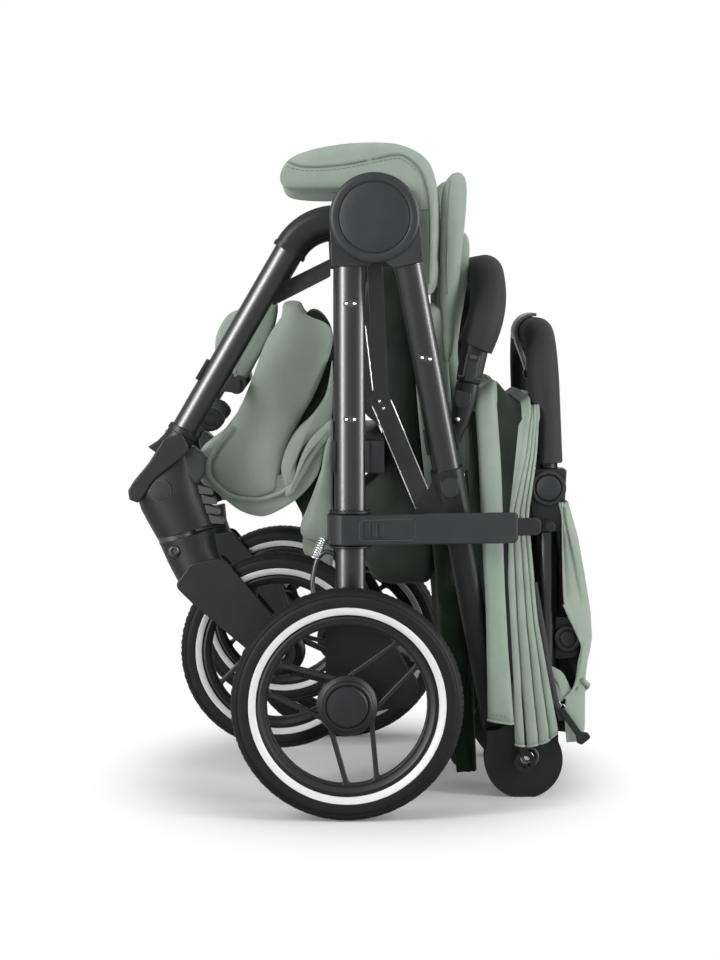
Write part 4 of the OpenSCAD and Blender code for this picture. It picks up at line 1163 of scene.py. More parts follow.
def makeSmallParts():
    soften("braces", 1.2, "satin_black_tube", "braceBars")
    edges = Shape()
    for p, q in (((17.6, 470), (25.6, 402)), ((25, 387), (67.5, 287)), ((43, 393), (84.5, 294))):
        a, b = Vector((p[0], braceEdge["out"], p[1])), Vector((q[0], braceEdge["out"], q[1]))
        edges = edges + sweep([a.lerp(b, k / 6) for k in range(7)], roundSection(braceEdge["r"], 8))
    build("braceEdges", edges.both(), "pusher", "steel", 60)
    cup, dome = rivetPair(34, 388, 154.3, 60)
    build("braceRivetCups", cup.both(), "pusher", "cable", 40)
    build("braceRivets", dome.both(), "pusher", "chrome", 50)
    line = smoothPath([(-11.9, 189, 246.5), (-20, 189, 249), (-28.5, 189, 240.5), (-32.5, 189, 222),
                       (-32, 189, 210), (-26, 189, 190), (-23.3, 189, 182)], 3)
    build("brakeCables", sweep(line, roundSection(2.3, 12)).both(), "rear_frame", "cable", 60,
          stands=["brake_cable"])
    coil = []
    r, steps = cableSpring["r"], 139
    for k in range(steps + 1):
        t = k / steps
        a = t * 2 * pi * cableSpring["turns"]
        c = Vector((-22 - 9 * t, 189, 262 - 20 * t))
        n = Vector((20, 0, -9)).normalized()
        coil.append(c + n * r * cos(a) + Vector((0, 1, 0)) * r * sin(a))
    wire = roundSection(cableSpring["wire"], 8)
    build("cableSprings", sweep(coil, wire).both(), "rear_frame", "steel", 60)
    for side, sign in (("left", 1), ("right", -1)):
        p = onPusher(311)
        d = (pusherFoot - pusherTop).normalized()
        n = Vector((-d.z, 0, d.x)).normalized()
        outline = rounded([(-8.6, 16, 1.5), (8.6, 16, 1.5), (9.2, -4, 9), (5.5, -12, 7), (-5.5, -12, 7),
                           (-9.2, -4, 9)], 10)
        pts = [p + n * u - d * w for u, w in outline]
        flat = [(q.x, q.z) for q in pts]
        shape = plate(flat, p.y + 8.5, p.y + 12.9)
        shape = shape if sign > 0 else shape.mirror()
        build("releaseButton" + side.capitalize(), shape, "release_button_" + side, "disc_plastic",
              40, 1.4, 4, stands=["release_button_" + side])


makeSmallParts()
print("stage: small parts")

# soft goods

clothLook = {"voxel": 0.0052, "pressure": 4.0, "frames": 20}


# a rounded pillow: a side-view outline that closes towards a spine at both faces
def pillow(outline, spine, out0, out1, crown=7.0, edge=5.0, gap=6, sag=None, steps=6):
    ring = [Vector(p) for p in smoothPath([Vector((p[0], p[1])) for p in outline], gap, True)]
    if areaOf([tuple(p) for p in ring]) > 0:
        ring.reverse()
    spinePts = smoothPath([Vector(p) for p in spine], 4)

    def toSpine(p):
        return min(spinePts, key=lambda q: (q - p).length)

    pulls = [(p, toSpine(p)) for p in ring]
    rings = []

    def layer(t, out):
        return [(p.x + (q.x - p.x) * t, out, p.y + (q.y - p.y) * t) for p, q in pulls]

    for t in (0.96, 0.7, 0.45, 0.25, 0.1):
        rings.append(layer(t, out0 - crown * (1 - (1 - t) ** 2)))
    for k in range(4):
        a = pi / 2 * k / 3
        rings.append(layer(0.1 * (1 - sin(a)), out0 + edge * (1 - cos(a))))
    for k in range(1, steps):
        rings.append(layer(0, out0 + edge + (out1 - out0 - 2 * edge) * k / steps))
    for k in range(3, -1, -1):
        a = pi / 2 * k / 3
        rings.append(layer(0.1 * (1 - sin(a)), out1 - edge * (1 - cos(a))))
    for t in (0.1, 0.25, 0.45, 0.7, 0.96):
        rings.append(layer(t, out1 + crown * (1 - (1 - t) ** 2)))
    shape = loft(rings)
    if sag:
        shape.points = [sag(*p) for p in shape.points]
    return shape


# blows a closed cloth form up against its pinned seams, as stuffing does
def puff(obj, cap, voxel=None, pinned=None, pressure=None):
    voxel = voxel or clothLook["voxel"]
    bpy.context.view_layer.objects.active = obj
    for o in bpy.context.selected_objects:
        o.select_set(False)
    obj.select_set(True)
    m = obj.modifiers.new("evenMesh", "REMESH")
    m.mode = "VOXEL"
    m.voxel_size = voxel
    bpy.ops.object.modifier_apply(modifier=m.name)
    mesh = obj.data
    rest = [v.co.copy() for v in mesh.vertices]
    group = obj.vertex_groups.new(name="seams")
    pins = [v.index for v in mesh.vertices if pinned and pinned(*toMm(v.co))]
    if pins:
        group.add(pins, 1.0, "REPLACE")
    cloth = obj.modifiers.new("stuffing", "CLOTH")
    setting = cloth.settings
    setting.quality = 4
    setting.mass = 0.25
    setting.tension_stiffness = setting.compression_stiffness = 12
    setting.shear_stiffness = 6
    setting.bending_stiffness = 0.6
    setting.use_pressure = True
    setting.uniform_pressure_force = pressure or clothLook["pressure"]
    setting.effector_weights.gravity = 0
    if pins:
        setting.vertex_group_mass = "seams"
    scene = bpy.context.scene
    for f in range(1, clothLook["frames"] + 1):
        scene.frame_set(f)
    graph = bpy.context.evaluated_depsgraph_get()
    blown = obj.evaluated_get(graph).data
    moved = [v.co.copy() for v in blown.vertices]
    obj.modifiers.remove(cloth)
    scene.frame_set(1)
    for v, a, b in zip(mesh.vertices, rest, moved):
        d = b - a
        if d.length > cap * mm:
            d *= cap * mm / d.length
        v.co = a + d
    # evens out the steps that the remesh leaves
    bm = bmesh.new()
    bm.from_mesh(mesh)
    free = [v for v in bm.verts if v.index not in set(pins)]
    for k in range(3):
        bmesh.ops.smooth_vert(bm, verts=free, factor=0.5, use_axis_x=True, use_axis_y=True, use_axis_z=True)
    bm.to_mesh(mesh)
    bm.free()
    return obj


def toMm(co):
    return ((co.x - axle.x) / mm, -co.y / mm, co.z / mm)


def rawPiece(name, shape):
    mesh = bpy.data.meshes.new(name)
    mesh.from_pydata([at(*p) for p in shape.points], [], shape.faces)
    mesh.validate()
    bm = bmesh.new()
    bm.from_mesh(mesh)
    bmesh.ops.remove_doubles(bm, verts=bm.verts, dist=1e-6)
    bmesh.ops.recalc_face_normals(bm, faces=bm.faces)
    bm.to_mesh(mesh)
    bm.free()
    obj = bpy.data.objects.new(name, mesh)
    bpy.context.collection.objects.link(obj)
    return obj


def distToPath(x, z, path):
    best = 1e9
    p = Vector((x, z))
    for a, b in zip(path, path[1:]):
        a, b = Vector(a), Vector(b)
        d = b - a
        t = max(0, min(1, (p - a).dot(d) / d.dot(d)))
        best = min(best, (a + d * t - p).length)
    return best


# a line drawn in the side view, laid on a piece's left or right face
def onFace(obj, line, side, lift=0.4, gap=4):
    pts = []
    for p in smoothPath([Vector(p) for p in line], gap):
        start = at(p.x, side * 320, p.y)
        hit, where, normal, index = obj.ray_cast(start, Vector((0, side, 0)))
        if hit:
            x, out, z = toMm(where)
            pts.append((x, out + side * lift, z))
    return pts


# short raised stitches along a line
def stitches(points, long=3.0, space=1.6, r=0.45):
    pts = [Vector(p) for p in points]
    shape = Shape()
    start = None
    for a, b in zip(pts, pts[1:]):
        n = max(1, int((b - a).length / 0.8))
        for k in range(n):
            p = a.lerp(b, k / n)
            if start is None:
                start = p
            if (p - start).length >= long:
                shape = shape + sweep([start, start.lerp(p, 0.5), p], roundSection(r, 5))
                start = p + (b - a).normalized() * space
    return shape


# seat and its corner: one stuffed form over the hub, split where the seat turns

padLook = {"half": 140.5, "cap": 4.5, "cut": 23.7}
padOutline = [(-64.5, 607), (-62, 617), (-53, 627.5), (-25, 636.5), (0, 640), (28, 641.5), (51, 640),
              (65, 635), (78, 626.5), (84.5, 615), (87.5, 598), (88, 560), (88, 528), (86.5, 497),
              (79, 491), (73.5, 496), (72.5, 560), (68.5, 588), (57, 597), (30, 597), (-10, 594.5),
              (-52, 594.5), (-61, 597)]
padFoot = [(-64, 600), (-61, 597), (-52, 594.5), (-10, 594.5), (30, 597)]
padSeam = [(-56, 622), (-40, 618), (-11, 619), (20, 624), (47, 629.5), (59, 627), (71, 616), (78, 599),
           (81.2, 576), (81.5, 540), (80.5, 505)]


# one subdivision, applied, so that the piece can be cut afterwards
def denser(obj):
    m = obj.modifiers.new("softness", "SUBSURF")
    m.levels = 1
    bpy.context.view_layer.objects.active = obj
    bpy.ops.object.modifier_apply(modifier=m.name)


def splitPad(obj, keepLeft):
    bm = bmesh.new()
    bm.from_mesh(obj.data)
    cut = at(padLook["cut"], 0, 0)
    bmesh.ops.bisect_plane(bm, geom=bm.verts[:] + bm.edges[:] + bm.faces[:], plane_co=cut,
                           plane_no=(1, 0, 0), clear_outer=keepLeft, clear_inner=not keepLeft)
    edges = [e for e in bm.edges if e.is_boundary]
    bmesh.ops.holes_fill(bm, edges=edges, sides=0)
    bm.to_mesh(obj.data)
    bm.free()


def makePad():
    half = padLook["half"]
    line = [tuple(p) for p in smoothPath([Vector(p) for p in padOutline], 5, True)]
    obj = rawPiece("seatPad", loft([[(x, out, z) for x, z in line] for out in (half, -half)]))

    def pinned(x, out, z):
        if abs(out) > half - 5 and (distToPath(x, z, padSeam) < 3.6 or distToPath(x, z, padFoot) < 3):
            return True
        # the two sewn channels across the top
        return abs(abs(out) - 62) < 3.2 and z > 600 and distToPath(x, z, padOutline[1:12]) < 6

    # the seams and the channels stay pinned while the rest swells
    puff(obj, padLook["cap"], None, pinned)
    denser(obj)
    corner = bpy.data.objects.new("cornerPad", obj.data.copy())
    bpy.context.collection.objects.link(corner)
    seams, rows = Shape(), Shape()
    for side in (1, -1):
        pts = onFace(obj, padSeam, side, 0.5)
        seams = seams + sweep(pts, roundSection(1.15, 8))
        seams = seams + sweep(onFace(obj, [(66, 575.5), (74, 575.8), (80.5, 576)], side, 0.2, 3),
                              roundSection(0.8, 6))
        low = onFace(obj, [(x - 1.2, z - 4.2) for x, z in padSeam[:7]], side, 0.15, 3)
        rows = rows + stitches(low, 2.6, 1.5, 0.4)
    splitPad(obj, True)
    splitPad(corner, False)
    finishPiece(obj, "seat", "sage_fabric", 60)
    finishPiece(corner, "pusher", "sage_fabric", 60)
    pan = soften("seat_cushion", 0.6, "lining", "seatPan", False)
    bm = bmesh.new()
    bm.from_mesh(pan.data)
    bmesh.ops.bisect_plane(bm, geom=bm.verts[:] + bm.edges[:] + bm.faces[:], plane_co=at(0, 0, 599.85),
                           plane_no=(0, 0, 1), clear_outer=True)
    bmesh.ops.bisect_plane(bm, geom=bm.verts[:] + bm.edges[:] + bm.faces[:], plane_co=at(-44, 0, 0),
                           plane_no=(-1, 0, 0), clear_outer=True)
    bmesh.ops.holes_fill(bm, edges=[e for e in bm.edges if e.is_boundary], sides=0)
    bm.to_mesh(pan.data)
    bm.free()
    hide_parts("seat_cushion")
    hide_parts("seat_corner")
    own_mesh(corner)

    def part(shape, name, body, test, finish):
        keep = [i for i, p in enumerate(shape.points) if test(p)]
        where = {i: k for k, i in enumerate(keep)}
        faces = [tuple(where[i] for i in f) for f in shape.faces if all(i in where for i in f)]
        piece = build(name, Shape([shape.points[i] for i in keep], faces), body, finish, 60)
        if body == "pusher":
            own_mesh(piece)

    part(seams, "seatSeams", "seat", lambda p: p[0] < padLook["cut"] - 0.2, "stitch")
    part(seams, "cornerSeams", "pusher", lambda p: p[0] > padLook["cut"] + 0.2, "stitch")
    part(rows, "seatStitches", "seat", lambda p: p[0] < padLook["cut"] - 0.2, "stitch")
    part(rows, "cornerStitches", "pusher", lambda p: p[0] > padLook["cut"] + 0.2, "stitch")


makePad()
print("stage: seat pad")

# side wings

wingShapes = [("wing", [(94, 470), (93.4, 500), (93, 540), (93.6, 590), (97, 604), (103.5, 612),
                        (110, 614.5), (115.5, 610), (118, 600), (117, 582), (114, 557), (111, 528),
                        (107.5, 497), (105.4, 470), (104.4, 440), (101, 428), (96.5, 432)],
               [(100, 440), (100, 496), (103, 540), (106.5, 597)], 106, 131),
              ("lowWing", [(98, 500), (103, 535), (110, 556), (117.5, 556), (122.5, 545), (121, 516),
                           (117.5, 490), (113, 462), (111, 436), (114.5, 400), (119.5, 372), (122.5, 345),
                           (120, 318), (110, 320), (107, 360), (104, 396), (99.5, 425), (97, 440)],
               [(114.5, 340), (108.5, 395), (103, 445), (108, 500), (114, 542)], 90, 104.5)]


def makeWings():
    for name, outline, spine, out0, out1 in wingShapes:
        for side, sign in (("Left", 1), ("Right", -1)):
            shape = pillow(outline, spine, out0, out1, 1.5, 9.0, 4)
            shape = shape if sign > 0 else shape.mirror()
            piece = rawPiece(name + side, shape)
            puff(piece, 2.5, 0.004)
            finishPiece(piece, "pusher", "sage_fabric", 60, levels=1)
            if name == "wing":
                seam = onFace(piece, [(101.5, 606), (99.5, 590), (98.6, 560), (98.2, 525), (98.6, 494)],
                              sign, 0.3)
                seamPiece = build("wingSeam" + side, sweep(seam, roundSection(0.9, 6)), "pusher",
                                  "stitch", 60)
            if name == "wing" and sign > 0:
                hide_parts("side_wings")
            for q in ([piece, seamPiece] if name == "wing" else [piece]):
                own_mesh(q)


makeWings()


# back pad with two sewn channels
def makeBack():
    src = nodes["backrest"].data.copy()
    obj = bpy.data.objects.new("backPad", src)
    bpy.context.collection.objects.link(obj)
    bm = bmesh.new()
    bm.from_mesh(src)
    bmesh.ops.remove_doubles(bm, verts=bm.verts, dist=2e-6)
    bmesh.ops.recalc_face_normals(bm, faces=bm.faces)
    bm.to_mesh(src)
    bm.free()

    def pinned(x, out, z):
        return abs(abs(out) - 48) < 3.5 or z < 236

    puff(obj, 4.5, 0.006, pinned, 3.0)
    finishPiece(obj, "pusher", "sage_fabric", 50, levels=1, stands=["backrest"])
    # below 284 mm the pad gets the darker cloth, as painted shade
    obj.data.materials.append(finishes["under_fabric"])
    for f in obj.data.polygons:
        if toMm(f.center)[2] < 284:
            f.material_index = 1


makeBack()
print("stage: wings and back")

# basket, hanging folded between the front legs

basketPanel = [(-63, 486), (-51, 488), (-43, 484), (-41, 475), (-14, 463), (-14.5, 440), (-36, 388),
               (-48, 369), (-59, 345), (-64, 320), (-68, 300), (-86, 294), (-111, 296), (-123, 303),
               (-133, 315), (-133.5, 328), (-126, 346), (-114, 362), (-102, 380), (-89, 411), (-75, 450),
               (-62, 475)]


def basketSag(x, out, z):
    t = max(0, 1 - (out / 108) ** 2)
    low = max(0, min(1, (345 - z) / 50))
    lower = 5 * t * low
    ripple = 2.2 * sin(x * 0.11 + z * 0.05) * sin(out * 0.045) * t
    slack = 3.5 * noise.noise(Vector((x * 0.018, out * 0.014, z * 0.018)))
    return (x - 3 * t * low + ripple * 0.4, out + slack * (abs(out) > 80), z - lower + ripple * 0.5)


def makeBasket():
    spine = [(-50, 470), (-70, 400), (-90, 345), (-100, 325)]
    body = pillow(basketPanel, spine, -106, 106, 3.5, 7, 6, basketSag, 22)
    piece = rawPiece("basketBag", body)

    def held(x, out, z):
        return z > 470 or distToPath(x, z, [(-131, 325), (-121, 304), (-88, 296.5), (-66, 308)]) < 3

    puff(piece, 3.5, 0.005, held, 1.2)
    finishPiece(piece, nodeBody["basket"], "sage_fabric", 60, levels=1, stands=["basket"])
    # loops of slack cloth beside the panel
    loop = [(-13, 430), (-19, 398), (-33, 376), (-46, 364), (-58, 345), (-64, 322), (-57, 303),
            (-47, 308), (-49, 326), (-42, 344), (-30, 357), (-19, 363), (-13, 380)]
    inner = [(-14, 372), (-22, 366), (-36, 352), (-45, 334), (-52, 312), (-61, 299), (-54, 296),
             (-40, 318), (-28, 338), (-18, 352), (-13, 360)]
    hang = [(-13, 372), (-19, 366), (-21, 349), (-25, 318), (-35, 290), (-43, 272), (-45, 261),
            (-39, 253), (-14, 251), (-13, 300)]
    hangBack = [(-15, 352), (-30, 330), (-31, 300), (-40, 262), (-43, 246), (-39, 233), (-14, 221),
                (-13, 300)]
    loops = Shape()
    for outline, sp, o0, o1, c in ((loop, [(-16, 400), (-36, 364), (-54, 335), (-57, 318)], 70, 107, 4),
                                   (inner, [(-16, 364), (-38, 338), (-56, 300)], 74, 108.5, 2),
                                   (hang, [(-16, 350), (-22, 320), (-33, 268)], 72, 104, 5),
                                   (hangBack, [(-20, 330), (-24, 290), (-30, 240)], 30, 84, 3)):
        loops = loops + pillow(outline, sp, o0, o1, c, 6, 5)
    # the deep fold inside the basket gets the darker cloth, as painted shade
    deep = pillow([(-40, 474), (-14, 462), (-12, 380), (-13, 262), (-34, 262), (-62, 318), (-58, 350),
                   (-40, 384)], [(-24, 450), (-26, 380), (-28, 290)], 10, 88, 2, 5, 6)
    build("basketInner", deep.both(), nodeBody["basket"], "under_fabric", 60, levels=1)
    build("basketFolds", loops.both(), nodeBody["basket"], "sage_fabric", 60, levels=1)
    bulge = [(-70, 487), (-95, 481), (-114, 477), (-126, 461), (-130, 440), (-125, 417), (-120, 398),
             (-105, 400), (-92, 423), (-74, 455)]
    back = pillow(bulge, [(-80, 476), (-108, 445), (-112, 412)], -78, 78, 5, 9, 7, None, 8)
    lip = [(-149, 333), (-149, 320), (-138, 304), (-124, 302), (-128, 330), (-112, 366), (-119, 358),
           (-142, 340)]
    lipShape = pillow(lip, [(-140, 326), (-130, 322), (-122, 350)], 30, 96, 2, 5, 6)
    build("basketBack", back + lipShape.both(), nodeBody["basket"], "sage_fabric", 60,
          levels=1)
    belly = [(-149, 331), (-146, 317), (-128, 300), (-106, 282), (-87, 275.5), (-75, 277), (-56, 287),
             (-41, 299), (-27, 318), (-21, 347), (-27, 346), (-41, 323), (-56, 305), (-70, 297),
             (-87, 293), (-110, 295), (-124, 303), (-134, 316), (-135, 329), (-127, 345), (-133, 346)]
    bellyShape = pillow(belly, [(-141, 330), (-140, 318), (-125, 300), (-106, 288), (-87, 284),
                                (-70, 287), (-52, 296), (-37, 312), (-26, 332)], -102, 102, 1.5, 4, 4,
                        None, 12)
    build("basketBelly", bellyShape, nodeBody["basket"], "sage_fabric", 60, levels=1)
    piping = Shape()
    for side in (1, -1):
        rim = [(x, side * 107.2, z) for x, z in ((-112, 366), (-126, 347), (-135, 329), (-134.5, 317),
                                                 (-123, 303), (-110, 295.5), (-87, 293), (-69, 297.5),
                                                 (-54, 307), (-40, 325), (-25, 349))]
        piping = piping + sweep(smoothPath(rim, 4), roundSection(2.1, 8))
        low = [(x, side * 104, z) for x, z in ((-14, 352), (-20, 330), (-30, 300), (-40, 275), (-43, 262),
                                               (-37, 255), (-15, 253))]
        piping = piping + sweep(smoothPath(low, 4), roundSection(1.7, 8))
    build("basketPiping", piping, nodeBody["basket"], "sage_fabric", 60)
    soften("basket_strap", 0.4, "webbing", "basketStrap")
    buckle = pillow([(-146, 372), (-138, 383), (-126, 381), (-119, 371), (-127, 361), (-140, 360)],
                    [(-138, 371), (-128, 371)], 84, 100, 2, 4, 4)
    ring = lathe([(6.5, 98), (9.5, 98), (9.5, 103), (6.5, 103)], -133, 371, 24, True)
    build("sideBuckles", (buckle + ring).both(), nodeBody["basket"], "black_plastic", 50)


makeBasket()
print("stage: basket")

# canopy, folded into long pleats that cross over the top

# for each fold: how deep it lies, its place at heights, its foot and its top
canopyFolds = [
    (26, [(380, 129), (281, 134), (201, 139), (81, 142)], 84, 398),
    (4, [(380, 125.6), (281, 131), (201, 136), (81, 138.6)], 79, 400),
    (0.6, [(388, 128), (281, 134), (201, 138.5), (81, 142)], 78, 402),
    (0.6, [(393, 141), (281, 149), (201, 153), (146, 156), (78, 161)], 75, 409),
    (4, [(393, 144), (281, 151.4), (207, 154.6), (146, 157.6), (76, 163.6)], 75, 411),
    (5, [(404, 149), (281, 152), (207, 155), (146, 158), (76, 164)], 80, 408),
    (6, [(384, 166), (340, 162), (281, 157.6), (207, 157.4), (146, 160.6), (60, 165.4)], 78, 386),
    (6, [(392, 176), (340, 169.6), (280, 158.4), (219, 157.6), (146, 161.4), (60, 165.8)], 54, 393),
    (3.4, [(390, 177.8), (340, 171), (280, 160), (219, 159), (146, 163), (60, 168.4)], 53.5, 394),
    (3.4, [(390, 179), (340, 174), (280, 162), (176, 165.6), (60, 174)], 52.5, 395),
    (9, [(390, 179.3), (340, 174.4), (280, 163.2), (176, 167), (60, 175.6)], 53, 394),
    (3, [(390, 180), (340, 175.4), (280, 164.6), (176, 168.8), (60, 178)], 52.5, 387),
    (3, [(390, 182), (340, 177.6), (280, 168.6), (176, 174.6), (60, 187)], 54, 388),
    (9, [(390, 182.3), (340, 178), (280, 169.6), (176, 175.8), (60, 188.4)], 54.5, 388),
    (3.2, [(390, 183), (340, 179), (280, 170.8), (176, 177.4), (60, 190.6)], 55, 389),
    (3.2, [(390, 185), (340, 181), (280, 173.4), (176, 181.4), (64, 198)], 58, 390),
    (9, [(390, 185.3), (340, 181.4), (280, 174.2), (176, 182.4), (64, 199.2)], 59, 390),
    (4, [(390, 186), (340, 182.4), (280, 175.2), (176, 184), (64, 201)], 61, 391),
    (4, [(390, 188), (340, 184.6), (280, 177.4), (176, 187), (70, 207)], 66, 392),
    (20, [(390, 188), (340, 185), (280, 178), (176, 187.6), (70, 208)], 72, 392),
]


def spotOn(line, z):
    if z >= line[0][0]:
        return line[0][1]
    for (z1, x1), (z0, x0) in zip(line, line[1:]):
        if z >= z0:
            t = (z - z0) / (z1 - z0)
            return x0 + (x1 - x0) * t
    return line[-1][1]


# bakes the piece's placement into its mesh
def spread(obj):
    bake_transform(obj)
    return obj


# a finer line through points that cross the folds
def acrossFolds(points, steps=4):
    fine = []
    for here, there in zip(points, points[1:]):
        for k in range(steps):
            fine.append(here.lerp(there, k / steps))
    fine.append(points[-1])
    # a light smoothing keeps the folds soft and never overshoots
    for r in range(2):
        between = [(a + b * 2 + c) / 4 for a, b, c in zip(fine, fine[1:], fine[2:])]
        fine = [fine[0]] + between + [fine[-1]]
    return fine


def makeCanopy():
    rows = []
    wide = 149
    for deep, line, foot, top in canopyFolds:
        pts = []
        corner = 22
        for k in range(27):
            z = foot + (top - corner - foot) * k / 26
            sway = 1.1 * sin(z * 0.031 + deep) * (z - foot) / 300
            pts.append((spotOn(line, z) + sway, wide - deep, z))
        for k in range(1, 7):
            a = pi / 2 * k / 6
            z = top - corner + corner * sin(a)
            pts.append((spotOn(line, top), wide - deep - corner * (1 - cos(a)), z))
        span = wide - deep - corner
        for k in range(1, 9):
            t = k / 8
            pts.append((spotOn(line, top) + 3 * sin(t * pi) * sin(deep), span * (1 - t),
                        top + 1.5 * sin(t * pi / 2)))
        rows.append(pts)
    # the points at one height, joined across the folds
    columns = [[tuple(p) for p in acrossFolds([Vector(r[k]) for r in rows])] for k in range(len(rows[0]))]
    fine = [[c[i] for c in columns] for i in range(len(columns[0]))]
    sheet = sheetOf(fine)
    both = sheet + sheet.mirror()
    piece = build("canopyCloth", both, None, "sage_fabric", 80, thick=1.1,
                  stands=["canopy_cloth"])
    spread(piece)
    # the inside of the folds and the sunken top get the darker cloth, as painted shade
    piece.data.materials.append(finishes["under_fabric"])
    lengths = len(rows[0]) - 1
    half = (len(fine) - 1) * lengths
    for f in piece.data.polygons:
        fold = ((f.index % half) // lengths + 0.5) / 4
        if fold < 1 or 4.5 < fold < 6.5 or fold > 18.5:
            f.material_index = 1
    # a rolled hem along the feet of both groups of folds
    hem = Shape()
    for first, last in ((1, 4), (7, 18)):
        line = []
        for deep, spots, foot, top in canopyFolds[first:last + 1]:
            line.append(Vector((spotOn(spots, foot + 1), wide - deep + 0.2, foot + 0.6)))
        hem = hem + sweep(acrossFolds(line), roundSection(1.3, 8))
    spread(build("canopyHems", hem.both(), None, "sage_fabric", 60))
    # one row of thread above the hem of the broad front fold
    line = []
    for deep, spots, foot, top in canopyFolds[2:4]:
        line.append(Vector((spotOn(spots, foot + 7), wide + 0.3, foot + 7)))
    thread = stitches(line, 2.4, 1.4, 0.35)
    spread(build("canopyStitches", thread.both(), None, "stitch", 60))
    trim = [(215, 181), (176, 188.4), (140, 194), (100, 202.5), (78, 208.5)]
    strip = [[(spotOn(trim, z) + u, 143 - abs(u) * 0.3, z) for u in (0, 2.5, 5)] for z in range(78, 216, 8)]
    spread(build("canopyTrim", sheetOf(strip) + sheetOf(strip).mirror(), None, "webbing",
                 60, thick=1.2))


makeCanopy()
print("stage: canopy")

# rear cloth behind the handle, with its open pocket and zip

rearLeftEdge = [(296, 211), (252, 211), (214, 212), (192, 213), (177, 220), (158, 228.5), (150, 231),
                (135, 230), (120, 226.5), (108, 222.5), (98, 215), (80, 214), (50, 217)]
rearRightEdge = [(296, 216), (275, 222), (258, 227), (220, 234), (183, 240), (158, 241.5), (146, 240),
                 (136, 237.5), (114, 235), (67, 235), (50, 228)]


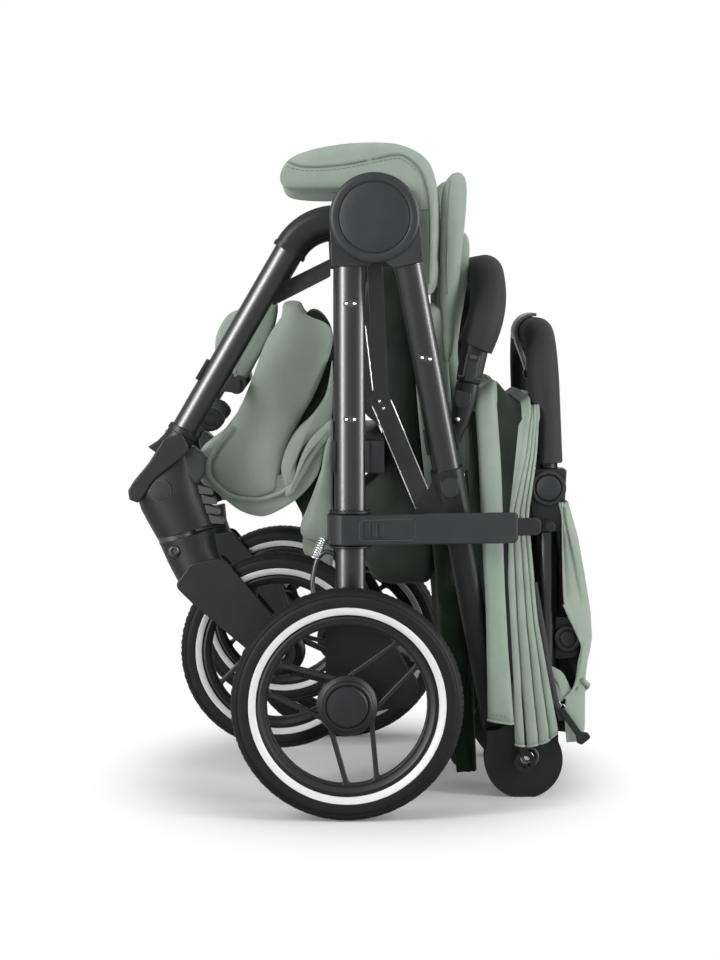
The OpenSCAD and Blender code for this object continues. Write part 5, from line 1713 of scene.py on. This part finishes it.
def makeRear():
    rows = []
    for k in range(45):
        z = 292 - (292 - 56) * k / 44
        a, b = spotOn(rearLeftEdge, z), spotOn(rearRightEdge, z)
        row = []
        for t in (0, 0.12, 0.25, 0.4, 0.55, 0.7, 0.85):
            crease = -2.6 * sin(pi * min(1, t * 2.2)) * (z > 200)
            row.append((a + (b - 10 - a) * t, 139.5 + crease - 2 * t, z))
        for j in range(1, 6):
            w = pi / 2 * j / 5
            row.append((b - 10 + 10 * sin(w), 137.5 - 12 * (1 - cos(w)), z))
        for j in range(1, 13):
            t = j / 12
            fold = 1.6 * sin(t * 13 + z * 0.01) * (1 - (2 * t - 1) ** 2) * sin((292 - z) / 236 * pi)
            row.append((b - 4.5 * sin(t * pi / 2) + fold, 125.5 * (1 - t), z + 1.5 * t))
        rows.append(row)
    sheet = sheetOf(rows)
    piece = build("rearCloth", sheet + sheet.mirror(), nodeBody["canopy_back"], "sage_fabric",
                  80, thick=1.2, stands=["canopy_back"])
    # rolled edges of the pocket and the fold above it
    edge = [(213, 192), (220, 177), (228, 160), (231.5, 150), (230.5, 135), (227, 120), (222.5, 108),
            (215, 99)]
    roll = sweep(smoothPath([(x, 139.6, z) for x, z in edge], 4), roundSection(1.5, 8))
    crease = [(214.5, 288), (218, 262), (224, 236), (230.5, 206), (233, 196)]
    roll = roll + sweep(smoothPath([(x, 139.2, z) for x, z in crease], 4), roundSection(1.3, 8),
                        sizes=lambda t: 1.0 - 0.7 * t)
    tuck = [(232, 138.6, 118), (236.5, 134, 113), (238.5, 128, 111), (237, 122, 107), (232, 130, 105),
            (226, 139, 109)]
    roll = roll + sweep(smoothPath(tuck, 3), roundSection(2.2, 8))
    build("rearRolls", roll.both(), nodeBody["canopy_back"], "sage_fabric", 60)
    # what shows in the pocket
    boss = lathe([(0.2, 118), (12.5, 118), (13.5, 119.5), (13.5, 130), (12.4, 131.6), (9, 131.8),
                  (8.6, 130.6), (7.6, 130.6), (7.2, 132.4), (0.2, 133)], 218, 157, 48)
    buckleFrame = plate(rounded([(205, 178, 5), (227, 178, 8), (229.5, 160, 6), (228, 138, 8),
                                 (206, 136, 4)]), 114, 126)
    build("pocketBuckles", (boss + buckleFrame).both(), nodeBody["canopy_back"], "black_plastic",
          40, 1.0)
    lining = [[(211 + (spotOn(rearRightEdge, z) - 5 - 211) * t, 112 + 4 * sin(t * 5 + z * 0.08), z)
               for t in (0, 0.2, 0.4, 0.6, 0.8, 1)] for z in range(62, 292, 8)]
    build("pocketLining", sheetOf(lining) + sheetOf(lining).mirror(), nodeBody["canopy_back"], "lining",
          60, thick=1.0)
    flap = pillow([(190, 140), (199, 132), (212, 125), (219, 112), (222, 104), (213, 97), (206, 92),
                   (203, 104), (196, 120)], [(197, 128), (208, 114), (212, 104)], 131.5, 137, 1.2, 2.2, 4)
    build("zipFlap", flap.both(), nodeBody["canopy_back"], "sage_fabric", 60, levels=1)
    slider = plate(rounded([(200, 99, 2), (206, 101, 2), (212, 92, 2), (207, 88, 2)]), 137.5, 141)
    loopRing = lathe([(2.6, 139.4), (4.0, 139.4), (4.0, 141), (2.6, 141)], 211, 90.5, 20, True)
    pull = plate(rounded([(208, 88, 2), (213, 91.5, 2), (230.5, 67, 4), (236.5, 66.5, 3), (240, 61.5, 3),
                          (231, 54, 3), (226, 56, 3), (225, 63, 4)]), 142.2, 145)
    build("zipSlider", slider + loopRing, nodeBody["zip_pull"], "bolt", 40, 0.5)
    build("zipPull", pull, nodeBody["zip_pull"], "black_plastic", 40, 0.9, stands=["zip_pull"])


makeRear()


# cloth that hangs behind the seat's back, down between the pushers, dark with painted shade
def makeLowCloth():
    rows = []
    for k in range(28):
        z = 232 - (232 - 18) * k / 27
        front = 91 + 20 * (k / 27) ** 1.3
        back = 119 + 8 * k / 27
        row = []
        for j in range(5):
            t = j / 4
            row.append((front + (back - front) * t, 92 - 4 * t + 3.2 * sin(t * 11 + z * 0.02), z))
        for j in range(1, 4):
            w = pi / 2 * j / 3
            row.append((back + 3 * sin(w), 88 - 6 * (1 - cos(w)), z))
        for j in range(1, 10):
            t = j / 9
            row.append((back + 3 - 2 * sin(t * pi / 2) + 2 * sin(t * 17) * (1 - t), 82 * (1 - t),
                        z - 3 * sin(t * pi / 2)))
        rows.append(row)
    sheet = sheetOf(rows)
    piece = build("backSkirt", sheet + sheet.mirror(), "pusher", "under_fabric", 80,
                  thick=1.0)


makeLowCloth()


# dark liner between the legs, in front of the seat's back
def makeLiner():
    outline = [(22, 505), (36, 522), (56, 514), (64, 440), (74, 330), (86, 214), (60, 204), (24, 208),
               (14, 250), (16, 300), (30, 308), (38, 316), (39.5, 340), (38, 364), (20, 374), (14, 430)]
    shape = pillow(outline, [(38, 500), (42, 400), (56, 340), (52, 260), (56, 226)], -84, 84, 3, 8, 9,
                   None, 10)
    piece = rawPiece("seatLiner", shape)
    puff(piece, 6, 0.0075, lambda x, out, z: z > 505 or 296 < z < 378 and x < 50, 2.0)
    finishPiece(piece, "pusher", "lining", 60, levels=1)


makeLiner()
print("stage: rear cloth")
